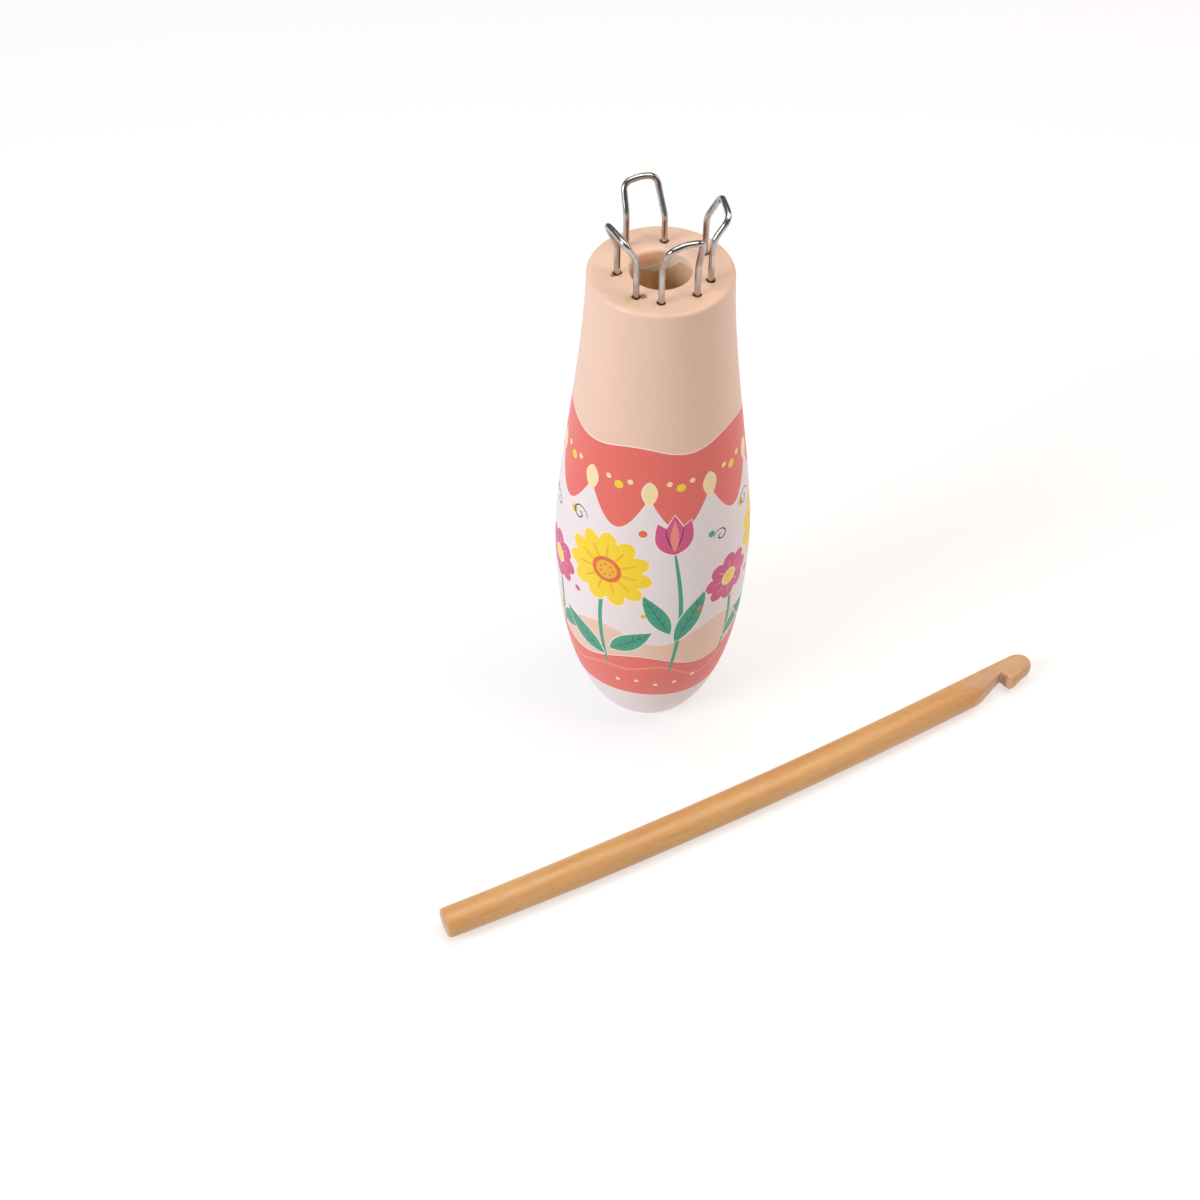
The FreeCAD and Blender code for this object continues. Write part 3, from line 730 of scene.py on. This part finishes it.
def makeWrapTree():
    # carries a flat sheet round a turned profile: x goes round the axis, y along the profile
    tree = newTree("wrapSheetRoundBody", [
        ("Profile", "NodeSocketObject"), ("Sheet Radius", "NodeSocketFloat"), ("Turn", "NodeSocketFloat"),
        ("Weld", "NodeSocketFloat"), ("Paint", "NodeSocketMaterial"), ("Bare Wood", "NodeSocketMaterial")])
    start = addNode(tree, "NodeGroupInput").outputs
    flat = addNode(tree, "GeometryNodeInputPosition").outputs[0]
    parts = addNode(tree, "ShaderNodeSeparateXYZ", inputs={0: flat}).outputs
    curve = addNode(tree, "GeometryNodeObjectInfo", inputs={"Object": start["Profile"]}).outputs["Geometry"]
    sample = addNode(tree, "GeometryNodeSampleCurve", {"mode": "LENGTH"},
                     {"Curves": curve, "Length": parts["Y"]})
    share = addNode(tree, "ShaderNodeMath", {"operation": "DIVIDE"},
                    {0: parts["X"], 1: start["Sheet Radius"]}).outputs[0]
    angle = addNode(tree, "ShaderNodeMath", {"operation": "ADD"}, {0: share, 1: start["Turn"]}).outputs[0]
    around = addNode(tree, "ShaderNodeVectorRotate", {"rotation_type": "Z_AXIS"},
                     {"Vector": sample.outputs["Position"], "Angle": angle}).outputs[0]
    wrapped = addNode(tree, "GeometryNodeSetPosition",
                      inputs={"Geometry": start["Geometry"], "Position": around}).outputs[0]
    welded = addNode(tree, "GeometryNodeMergeByDistance",
                     inputs={"Geometry": wrapped, "Distance": start["Weld"]}).outputs[0]
    smooth = addNode(tree, "GeometryNodeSetShadeSmooth", inputs={"Geometry": welded}).outputs[0]
    real = addNode(tree, "GeometryNodeRealizeInstances", inputs={"Geometry": smooth}).outputs[0]
    painted = addNode(tree, "GeometryNodeSetMaterial",
                      inputs={"Geometry": real, "Material": start["Paint"]}).outputs[0]
    isBare = addNode(tree, "GeometryNodeInputNamedAttribute", {"data_type": "BOOLEAN"},
                     {"Name": "bareWood"}).outputs[0]
    finished = addNode(tree, "GeometryNodeSetMaterial", inputs={
        "Geometry": painted, "Selection": isBare, "Material": start["Bare Wood"]}).outputs[0]
    addNode(tree, "NodeGroupOutput", inputs={"Geometry": finished})
    return tree


def makePrintedPaint():
    material, tree = newMaterial("printedPaint")
    tint = addNode(tree, "ShaderNodeAttribute", {"attribute_name": "printColour"}).outputs["Color"]
    chip = addNode(tree, "ShaderNodeAttribute", {"attribute_name": "chip"}).outputs["Fac"]
    stain = addNode(tree, "ShaderNodeAttribute", {"attribute_name": "stain"}).outputs["Fac"]
    cloud = stretchedNoise(tree, (90, 90, 60), 3.0)
    grain = stretchedNoise(tree, (900, 900, 30), 3.0)
    rings = stretchedNoise(tree, (25, 25, 1400), 2.0)
    speck = stretchedNoise(tree, (2600, 2600, 2600), 2.0)
    tone = remap(tree, cloud, 0.3, 0.7, 0.965, 1.0)
    toned = mixColour(tree, 1.0, tint, tone, "MULTIPLY")
    fine = remap(tree, speck, 0.35, 0.75, 1.0, 0.95)
    toned = mixColour(tree, 1.0, toned, fine, "MULTIPLY")
    ragged = stretchedNoise(tree, (1300, 1300, 1300), 3.0)
    stained = addNode(tree, "ShaderNodeMath", {"operation": "MULTIPLY"},
                      {0: stain, 1: remap(tree, ragged, 0.35, 0.6, 0.45, 1.0)}).outputs[0]
    toned = mixColour(tree, stained, toned, hexPaint("#CFA65C"))
    chipped = addNode(tree, "ShaderNodeMath", {"operation": "MULTIPLY"},
                      {0: chip, 1: remap(tree, ragged, 0.3, 0.62, 0.5, 1.2)}).outputs[0]
    darkened = remap(tree, chipped, 0.25, 0.6, 0.0, 0.85)
    toned = mixColour(tree, darkened, toned, hexPaint("#7A5638"))
    height = addNode(tree, "ShaderNodeMath", {"operation": "ADD"}, {
        0: remap(tree, rings, 0.3, 0.7, 0.0, 0.5), 1: remap(tree, grain, 0.3, 0.7, 0.0, 0.5)}).outputs[0]
    height = addNode(tree, "ShaderNodeMath", {"operation": "SUBTRACT"}, {
        0: height, 1: remap(tree, chipped, 0.2, 0.6, 0.0, 2.5)}).outputs[0]
    bump = addNode(tree, "ShaderNodeBump", inputs={
        "Strength": 0.35, "Distance": 0.00004, "Height": height}).outputs[0]
    shine = remap(tree, cloud, 0.3, 0.7, 0.40, 0.48)
    shader = addNode(tree, "ShaderNodeBsdfPrincipled", inputs={
        "Base Color": toned, "Roughness": shine, "Normal": bump,
        "Specular IOR Level": 0.42, "Coat Weight": 0.12, "Coat Roughness": 0.28}).outputs[0]
    closeMaterial(tree, shader)
    return material


def makeBareWood(name, dark, light):
    material, tree = newMaterial(name)
    streaks = stretchedNoise(tree, (800, 800, 45), 5.0)
    cloud = stretchedNoise(tree, (150, 150, 90), 2.0)
    ramp = addNode(tree, "ShaderNodeValToRGB", inputs={"Fac": streaks})
    ramp.color_ramp.elements[0].position = 0.2
    ramp.color_ramp.elements[0].color = hexPaint(dark)
    ramp.color_ramp.elements[1].position = 0.8
    ramp.color_ramp.elements[1].color = hexPaint(light)
    toned = mixColour(tree, 1.0, ramp.outputs[0], remap(tree, cloud, 0.3, 0.7, 0.86, 1.0), "MULTIPLY")
    bump = addNode(tree, "ShaderNodeBump", inputs={
        "Strength": 0.4, "Distance": 0.00008, "Height": streaks}).outputs[0]
    shader = addNode(tree, "ShaderNodeBsdfPrincipled", inputs={
        "Base Color": toned, "Roughness": 0.72, "Normal": bump, "Specular IOR Level": 0.3}).outputs[0]
    closeMaterial(tree, shader)
    return material


def sinkHoles(body):
    # each wire's hole: its open rim goes down as a worn cone, then straight, and is closed; its inside gets a
    # darker copy of the bore's wood as painted shade
    grown = bmesh.new()
    grown.from_mesh(body.data)
    # painted shade: the holes' walls and floors get a darker copy of the bore's wood
    holeShadeIndex = len(body.data.materials)
    body.data.materials.append(makeBareWood("shadedHoleWood", "#70401E", "#94623A"))
    top = bodyPlan["height"] * mm
    for plan in loopPlan.values():
        for spot in legSpots(plan):
            middle = Vector((spot.x, spot.y, 0)) * mm
            near = legPlan["mouthRadius"] * 1.6 * mm

            def isNear(vert):
                return (vert.co.xy - middle.xy).length < near and vert.co.z > top - 0.2 * mm
            rim = [edge for edge in grown.edges if edge.is_boundary and all(map(isNear, edge.verts))]
            for depth in (legPlan["mouthDepth"], legPlan["holeDepth"]):
                made = bmesh.ops.extrude_edge_only(grown, edges=rim)["geom"]
                for vert in (item for item in made if isinstance(item, bmesh.types.BMVert)):
                    way = (vert.co.xy - middle.xy).normalized() * legPlan["holeRadius"] * mm
                    vert.co = Vector((middle.x + way.x, middle.y + way.y, top - depth * mm))
                for face in (item for item in made if isinstance(item, bmesh.types.BMFace)):
                    face.material_index = holeShadeIndex
                    face.smooth = True
                rim = [item for item in made if isinstance(item, bmesh.types.BMEdge) and item.is_boundary]
            closed = bmesh.ops.contextual_create(grown, geom=rim)["faces"]
            for face in closed:
                face.material_index = holeShadeIndex
    bmesh.ops.recalc_face_normals(grown, faces=grown.faces)
    bmesh.ops.triangulate(grown, faces=[face for face in grown.faces if len(face.verts) > 4])
    grown.to_mesh(body.data)
    grown.free()


def softenMouth(body):
    # the bore's mouth is worn down where the paint ran over it
    top, bore = bodyPlan["height"], bodyPlan["boreRadius"]
    run = wearPlan["run"]
    for vert in body.data.vertices:
        reach = vert.co.xy.length / mm
        depth = top - vert.co.z / mm
        if reach < bore + run["soft"] * 3 and depth < run["soft"] * 4:
            along = (depth - reach + bore) / run["soft"]
            angle = math.atan2(vert.co.y, vert.co.x) - printPlan["turn"]
            amount = nearness(angle, run) * math.exp(-along ** 2)
            vert.co.xy *= 1 + run["widen"] * amount / reach
            vert.co.z -= run["sink"] * amount * mm


def makeBody():
    sheet = makeSheet()
    line = bpy.data.curves.new("bodyProfile", "CURVE")
    line.dimensions = "3D"
    spline = line.splines.new("POLY")
    spline.points.add(len(profile) - 1)
    for point, (radius, height) in zip(spline.points, profile):
        point.co = (radius * mm, 0, height * mm, 1)
    guide = newObject("bodyProfile", line)
    useTree(sheet, makeWrapTree(), {
        "Profile": guide, "Sheet Radius": sheetRadius * mm, "Turn": printPlan["turn"],
        "Weld": 0.004 * mm, "Paint": makePrintedPaint(),
        "Bare Wood": makeBareWood("boreWood", "#DDB285", "#F1D2A8")})
    body = makePlain(sheet, "paintedBody")
    bpy.data.objects.remove(guide)
    softenMouth(body)
    sinkHoles(body)
    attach(body, "dolly")
    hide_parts("dolly_body")
    print("painted body:", len(body.data.polygons), "faces")


makeBody()


# the wire loops

def makeSteel():
    material, tree = newMaterial("drawnSteel")
    streaks = stretchedNoise(tree, (2200, 2200, 160), 3.0)
    cloud = stretchedNoise(tree, (260, 260, 260), 3.0)
    ramp = addNode(tree, "ShaderNodeValToRGB", inputs={"Fac": cloud})
    ramp.color_ramp.elements[0].position = 0.35
    ramp.color_ramp.elements[0].color = (0.40, 0.37, 0.345, 1)
    ramp.color_ramp.elements[1].position = 0.62
    ramp.color_ramp.elements[1].color = (0.56, 0.535, 0.515, 1)
    bump = addNode(tree, "ShaderNodeBump", inputs={
        "Strength": 0.12, "Distance": 0.00002, "Height": streaks}).outputs[0]
    shader = addNode(tree, "ShaderNodeBsdfPrincipled", inputs={
        "Base Color": ramp.outputs[0], "Metallic": 1.0, "Normal": bump,
        "Roughness": remap(tree, streaks, 0.3, 0.7, 0.17, 0.25)}).outputs[0]
    closeMaterial(tree, shader)
    return material


def makeWireTree():
    # a bent wire: rounds the line's corners, lets it wander a little and gives it its thickness
    tree = newTree("bendWire", [
        ("Wire Diameter", "NodeSocketFloat"), ("Sides", "NodeSocketInt"), ("Bend Steps", "NodeSocketInt"),
        ("Step", "NodeSocketFloat"), ("Held Below", "NodeSocketFloat"), ("Wobble", "NodeSocketFloat"),
        ("Seed", "NodeSocketFloat"), ("Steel", "NodeSocketMaterial")])
    start = addNode(tree, "NodeGroupInput").outputs
    bend = addNode(tree, "GeometryNodeInputRadius").outputs[0]      # each corner's radius holds its bend
    rounded = addNode(tree, "GeometryNodeFilletCurve", {"mode": "POLY"}, {
        "Curve": start["Geometry"], "Count": start["Bend Steps"], "Radius": bend}).outputs[0]
    plain = addNode(tree, "GeometryNodeSetCurveRadius", inputs={"Curve": rounded, "Radius": 1.0}).outputs[0]
    even = addNode(tree, "GeometryNodeResampleCurve", {"mode": "LENGTH"},
                   {"Curve": plain, "Length": start["Step"]}).outputs[0]
    where = addNode(tree, "GeometryNodeInputPosition").outputs[0]
    wander = addNode(tree, "ShaderNodeTexNoise", {"noise_dimensions": "4D"}, {
        "Vector": where, "W": start["Seed"], "Scale": 150.0, "Detail": 0.0}).outputs["Color"]
    centred = addNode(tree, "ShaderNodeVectorMath", {"operation": "SUBTRACT"},
                      {0: wander, 1: (0.5, 0.5, 0.5)}).outputs[0]
    height = addNode(tree, "ShaderNodeSeparateXYZ", inputs={0: where}).outputs["Z"]
    above = addNode(tree, "ShaderNodeMath", {"operation": "SUBTRACT"},
                    {0: height, 1: start["Held Below"]}).outputs[0]
    amount = addNode(tree, "ShaderNodeMapRange", inputs={
        "Value": above, "From Min": 0.0, "From Max": 4 * mm,
        "To Min": 0.0, "To Max": start["Wobble"]}).outputs[0]
    offset = addNode(tree, "ShaderNodeVectorMath", {"operation": "SCALE"},
                     {0: centred, "Scale": amount}).outputs[0]
    bent = addNode(tree, "GeometryNodeSetPosition", inputs={"Geometry": even, "Offset": offset}).outputs[0]
    radius = addNode(tree, "ShaderNodeMath", {"operation": "MULTIPLY"},
                     {0: start["Wire Diameter"], 1: 0.5}).outputs[0]
    section = addNode(tree, "GeometryNodeCurvePrimitiveCircle",
                      inputs={"Resolution": start["Sides"], "Radius": radius}).outputs[0]
    wire = addNode(tree, "GeometryNodeCurveToMesh", inputs={
        "Curve": bent, "Profile Curve": section, "Fill Caps": True}).outputs[0]
    smooth = addNode(tree, "GeometryNodeSetShadeSmooth", inputs={"Geometry": wire}).outputs[0]
    real = addNode(tree, "GeometryNodeRealizeInstances", inputs={"Geometry": smooth}).outputs[0]
    finished = addNode(tree, "GeometryNodeSetMaterial",
                       inputs={"Geometry": real, "Material": start["Steel"]}).outputs[0]
    addNode(tree, "NodeGroupOutput", inputs={"Geometry": finished})
    return tree


def loopLine(plan):
    # the wire's corners from foot to foot, each with the radius of its bend
    out = bodyPlan["boreRadius"] + plan["setOut"]
    first, second = (plan["aside"] + sign * plan["gap"] / 2 for sign in (-1, 1))
    top, kink = bodyPlan["height"], legPlan["kinkRadius"]
    foot = top - legPlan["legDepth"]
    high = top + plan["height"] - legPlan["wireDiameter"] / 2
    bar = plan["width"] - legPlan["wireDiameter"]
    line = [((out, first, foot), 0), ((out, first, top + plan["kinks"][0]), kink)]
    bends = (legPlan["firstCorner"], legPlan["crownBend"], plan["secondCorner"])
    for half, bend in zip((-0.5, 0, 0.5), bends):
        drop = plan["crown"] if half else 0
        line.append(((out + plan["lean"] + half * plan["twist"], plan["topAside"] + half * bar,
                      high + half * plan["tilt"] - drop), bend * bar))
    return line + [((out, second, top + plan["kinks"][1]), kink), ((out, second, foot), 0)]


def makeLoops():
    steel, tree = makeSteel(), makeWireTree()
    for number, (loop, plan) in enumerate(loopPlan.items()):
        line = bpy.data.curves.new("wireLine", "CURVE")
        line.dimensions = "3D"
        corners = loopLine(plan)
        spline = line.splines.new("POLY")
        spline.points.add(len(corners) - 1)
        turned = Matrix.Rotation(math.radians(plan["angle"]), 3, "Z")
        for point, (spot, bend) in zip(spline.points, corners):
            point.co = (*(turned @ Vector(spot) * mm), 1)
            point.radius = bend * mm
        shaped = newObject("wireLine", line)
        useTree(shaped, tree, {
            "Wire Diameter": legPlan["wireDiameter"] * mm, "Sides": legPlan["sides"],
            "Bend Steps": legPlan["bendSteps"], "Step": legPlan["step"] * mm,
            "Held Below": bodyPlan["height"] * mm, "Wobble": legPlan["wobble"] * mm * 2,
            "Seed": legPlan["seedStep"] * number, "Steel": steel})
        wire = makePlain(shaped, "steelLoop." + loop)
        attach(wire, "dolly")
        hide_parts("wire_loop_" + loop)
        print("wire loop", loop + ":", len(wire.data.polygons), "faces")


makeLoops()


# the crochet hook: the carved form, its cheeks cut flat and its edges eased by sanding

hookPlan = {
    "turn": math.radians(10),
    "root": (58.1, -34.6),         # where the carved head begins, on the rod's axis
    "radius": 3.5,
    "throat": 17.8,                # from the root to the bottom of the throat
    "cheekStart": 3.0,             # from the root to where the flat cheeks begin
    "cheekThickness": 4.3,
    "weld": 0.002,
    "voxel": 0.21,
    "sanding": 7,                  # passes all over
    "moreSanding": 16,             # and more of them away from the throat
    "throatReach": 2.0,
    # painted shade darkens the throat's notch in the wood's colour, where it lies in shadow
    "paintedShadeShift": (-0.75, 0.3),    # from the throat to the darkest place of the painted shade in its notch
    "paintedShadeReach": 1.0,
    "carvedDepth": (0.12, 0.3),    # below the round surface: where the carved look starts, and its blend
    "sawnDepth": 0.6,
}


def makeHookWood():
    material, tree = newMaterial("hookWood")
    turn = -hookPlan["turn"]
    carved = addNode(tree, "ShaderNodeAttribute", {"attribute_name": "carved"}).outputs["Fac"]
    endCut = addNode(tree, "ShaderNodeAttribute", {"attribute_name": "endCut"}).outputs["Fac"]
    figure = stretchedNoise(tree, (22, 260, 260), 3.0, turn=turn)
    fibres = stretchedNoise(tree, (70, 2400, 2400), 3.0, turn=turn)
    pores = stretchedNoise(tree, (160, 3600, 3600), 2.0, turn=turn)
    flecks = stretchedNoise(tree, (420, 760, 760), 2.0, turn=turn + 0.5)
    cloud = stretchedNoise(tree, (30, 60, 60), 2.0, turn=turn)
    ramp = addNode(tree, "ShaderNodeValToRGB", inputs={"Fac": figure})
    ramp.color_ramp.elements[0].position = 0.32
    ramp.color_ramp.elements[0].color = hexPaint("#CF985C")
    ramp.color_ramp.elements[1].position = 0.68
    ramp.color_ramp.elements[1].color = hexPaint("#DDAB70")
    toned = mixColour(tree, remap(tree, carved, 0.0, 1.0, 0.0, 0.8), ramp.outputs[0], hexPaint("#D0A582"))
    toned = mixColour(tree, 1.0, toned, remap(tree, fibres, 0.35, 0.7, 0.96, 1.03), "MULTIPLY")
    toned = mixColour(tree, 1.0, toned, remap(tree, flecks, 0.35, 0.65, 0.965, 1.02), "MULTIPLY")
    toned = mixColour(tree, remap(tree, pores, 0.62, 0.74, 0.0, 0.14), toned, hexPaint("#8A5A30"))
    toned = mixColour(tree, 1.0, toned, remap(tree, cloud, 0.3, 0.7, 0.94, 1.03), "MULTIPLY")
    # painted shade: the throat's notch is darkened towards deep brown
    paintedShade = addNode(tree, "ShaderNodeAttribute", {"attribute_name": "paintedShade"}).outputs["Fac"]
    toned = mixColour(tree, remap(tree, paintedShade, 0.15, 0.75, 0.0, 0.85), toned, hexPaint("#3E1D0A"))
    sawn = addNode(tree, "ShaderNodeMath", {"operation": "MULTIPLY"},
                   {0: endCut, 1: remap(tree, pores, 0.35, 0.65, 0.1, 0.6)}).outputs[0]
    toned = mixColour(tree, sawn, toned, hexPaint("#A8825F"))
    height = addNode(tree, "ShaderNodeMath", {"operation": "ADD"},
                     {0: fibres, 1: remap(tree, pores, 0.6, 0.72, 0.0, -0.6)}).outputs[0]
    bump = addNode(tree, "ShaderNodeBump", inputs={
        "Strength": 0.3, "Distance": 0.00004, "Height": height}).outputs[0]
    satin = addNode(tree, "ShaderNodeMath", {"operation": "ADD"}, {
        0: remap(tree, fibres, 0.3, 0.7, 0.36, 0.44), 1: remap(tree, carved, 0.0, 1.0, 0.0, 0.14)}).outputs[0]
    shader = addNode(tree, "ShaderNodeBsdfPrincipled", inputs={
        "Base Color": toned, "Normal": bump, "Specular IOR Level": 0.45,
        "Roughness": satin, "Coat Weight": 0.15, "Coat Roughness": 0.28}).outputs[0]
    closeMaterial(tree, shader)
    return material


def hookRoot():
    return Matrix.Rotation(-hookPlan["turn"], 2) @ Vector(hookPlan["root"])


def makeCheekCutters(tip):
    # two wedges, above and below the head, that leave it flat between them
    root, radius = hookRoot(), hookPlan["radius"]
    half = hookPlan["cheekThickness"] / 2
    start, flat, past = root.x + hookPlan["cheekStart"], root.x + hookPlan["throat"], tip + 2
    side = [(start, radius), (flat, half), (past, half), (past, radius * 2), (start, radius * 2)]
    grown = bmesh.new()
    for sign in (1, -1):
        walls = [[grown.verts.new(Vector((x, root.y + across, radius + sign * rise)) * mm)
                  for x, rise in side] for across in (-2 * radius, 2 * radius)]
        grown.faces.new(walls[0])
        grown.faces.new(walls[1][::-1])
        for place in range(len(side)):
            after = (place + 1) % len(side)
            grown.faces.new((walls[0][place], walls[1][place], walls[1][after], walls[0][after]))
    bmesh.ops.recalc_face_normals(grown, faces=grown.faces)
    mesh = bpy.data.meshes.new("cheekCutters")
    grown.to_mesh(mesh)
    grown.free()
    return newObject("cheekCutters", mesh)


def sandHook(mesh):
    # smooths the whole hook, less at the throat, and marks the carved and the sawn places and the painted
    # shade in the throat's notch
    root, radius = hookRoot(), hookPlan["radius"]
    throat = Vector((root.x + hookPlan["throat"], root.y - radius / 2)) * mm
    grown = bmesh.new()
    grown.from_mesh(mesh)
    # the middle of the painted shade in the throat's notch
    corner = throat + Vector(hookPlan["paintedShadeShift"]) * mm
    away = [vert for vert in grown.verts if (vert.co.xy - throat).length > hookPlan["throatReach"] * mm]
    for verts, passes in ((list(grown.verts), hookPlan["sanding"]), (away, hookPlan["moreSanding"])):
        for _ in range(passes):
            bmesh.ops.smooth_vert(
                grown, verts=verts, factor=0.5, use_axis_x=True, use_axis_y=True, use_axis_z=True)
    grown.normal_update()
    butt = min(vert.co.x for vert in grown.verts)
    carved = grown.verts.layers.float.new("carved")
    endCut = grown.verts.layers.float.new("endCut")
    paintedShade = grown.verts.layers.float.new("paintedShade")
    for vert in grown.verts:
        # painted shade: steep faces near the throat's notch are darkened, most at its corner
        off = (vert.co.xy - corner).length / mm
        steep = eased(-abs(vert.normal.z), -0.85, 0.4)
        vert[paintedShade] = steep * math.exp(-(off / hookPlan["paintedShadeReach"]) ** 2)
        if vert.co.x > root.x * mm:
            inset = radius - math.hypot(vert.co.y / mm - root.y, vert.co.z / mm - radius)
            vert[carved] = eased(inset, *hookPlan["carvedDepth"])
        elif vert.co.x < butt + hookPlan["sawnDepth"] * mm:
            vert[endCut] = eased(-vert.normal.x, 0.5, 0.4)
    grown.to_mesh(mesh)
    grown.free()


def makeHook():
    carved = frame["nodes"]["crochet_hook"].data.copy()
    grown = bmesh.new()
    grown.from_mesh(carved)
    bmesh.ops.remove_doubles(grown, verts=grown.verts, dist=hookPlan["weld"] * mm)
    bmesh.ops.recalc_face_normals(grown, faces=grown.faces)
    grown.to_mesh(carved)
    grown.free()
    square = Matrix.Rotation(-hookPlan["turn"], 4, "Z")        # the hook along X while it is remeshed
    carved.transform(square)
    carved.materials.clear()
    shaped = newObject("carvedHook", carved)
    cutters = makeCheekCutters(max(vert.co.x for vert in carved.vertices) / mm)
    cheeks = shaped.modifiers.new("flatCheeks", "BOOLEAN")
    cheeks.operation = "DIFFERENCE"
    cheeks.solver = "EXACT"
    cheeks.object = cutters
    remesh = shaped.modifiers.new("evenMesh", "REMESH")
    remesh.mode = "VOXEL"
    remesh.voxel_size = hookPlan["voxel"] * mm
    remesh.use_smooth_shade = True
    hook = makePlain(shaped, "woodenHook")
    bpy.data.objects.remove(cutters)
    sandHook(hook.data)
    hook.data.transform(square.inverted())
    hook.data.materials.clear()
    hook.data.materials.append(makeHookWood())
    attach(hook, "hook")
    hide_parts("crochet_hook")
    print("hook:", len(hook.data.polygons), "faces")


makeHook()


# the floor, the light and the camera

studio = {
    "floorSize": 6.0,
    "floorColour": (0.45, 0.45, 0.45, 1),
    "floorGlow": 0.57,             # the floor is a white sheet lit from behind
    "horizon": 0.16,
    "zenith": 0.10,                # the room is darker overhead, which the steel shows
    "aim": Vector((0.02, -0.01, 0.05)),
    "lamps": [                     # name, where it stands in metres, size, watts, colour
        ("leftBox", (-0.9, -0.16, 0.55), 0.45, 6.6, (0.97, 0.94, 1.0)),
        ("rightBox", (0.86, 0.0, 0.45), 0.45, 1.7, (1.0, 0.77, 0.92)),
        ("topBox", (-0.1, 0.2, 0.9), 0.6, 2.75, (0.85, 0.94, 1.0)),
        ("overBox", (0.2, -0.06, 0.88), 0.5, 2.85, (1.0, 0.92, 0.72)),
        ("glintBox", (0.40, -0.36, 0.83), 0.2, 0.95, (1.0, 0.80, 0.66)),
    ],
}
cameraPlan = {
    "place": (-0.0953, -0.2292, 0.3043),
    "downFromUpright": 41.72,
    "heading": -20.0,
    "lens": 50.02,
    "sensor": 36.0,
}


def makeFloor():
    half = studio["floorSize"] / 2
    mesh = bpy.data.meshes.new("floor")
    corners = [(-half, -half, 0), (half, -half, 0), (half, half, 0), (-half, half, 0)]
    mesh.from_pydata(corners, [], [(0, 1, 2, 3)])
    floor = newObject("floor", mesh)
    material, tree = newMaterial("paleFloor")
    shader = addNode(tree, "ShaderNodeBsdfPrincipled", inputs={
        "Base Color": studio["floorColour"], "Roughness": 0.8, "Specular IOR Level": 0.2,
        "Emission Color": (1, 1, 1, 1), "Emission Strength": studio["floorGlow"]}).outputs[0]
    closeMaterial(tree, shader)
    mesh.materials.append(material)


def makeLight():
    world = bpy.data.worlds.new("studioWorld")
    world.use_nodes = True
    tree = world.node_tree
    way = addNode(tree, "ShaderNodeTexCoord").outputs["Generated"]
    rise = addNode(tree, "ShaderNodeSeparateXYZ", inputs={0: way}).outputs["Z"]
    glow = remap(tree, rise, 0.1, 0.9, studio["horizon"], studio["zenith"])
    tree.links.new(glow, tree.nodes["Background"].inputs["Strength"])
    tree.nodes["Background"].inputs["Color"].default_value = (1, 1, 1, 1)
    bpy.context.scene.world = world
    for name, place, wide, watts, colour in studio["lamps"]:
        lamp = bpy.data.lights.new(name, "AREA")
        lamp.size = wide
        lamp.energy = watts
        lamp.color = colour
        made = newObject(name, lamp)
        made.location = place
        made.rotation_euler = (studio["aim"] - Vector(place)).to_track_quat("-Z", "Y").to_euler()


def makeCamera():
    lens = bpy.data.cameras.new("photoCamera")
    lens.sensor_width = cameraPlan["sensor"]
    lens.sensor_fit = "HORIZONTAL"
    lens.lens = cameraPlan["lens"]
    lens.clip_start = 0.01
    camera = newObject("photoCamera", lens)
    camera.location = cameraPlan["place"]
    camera.rotation_euler = (
        math.radians(cameraPlan["downFromUpright"]), 0, math.radians(cameraPlan["heading"]))
    bpy.context.scene.camera = camera


makeFloor()
makeLight()
makeCamera()
bpy.context.scene.view_settings.view_transform = "Standard"
print("floor, light and camera are in place")
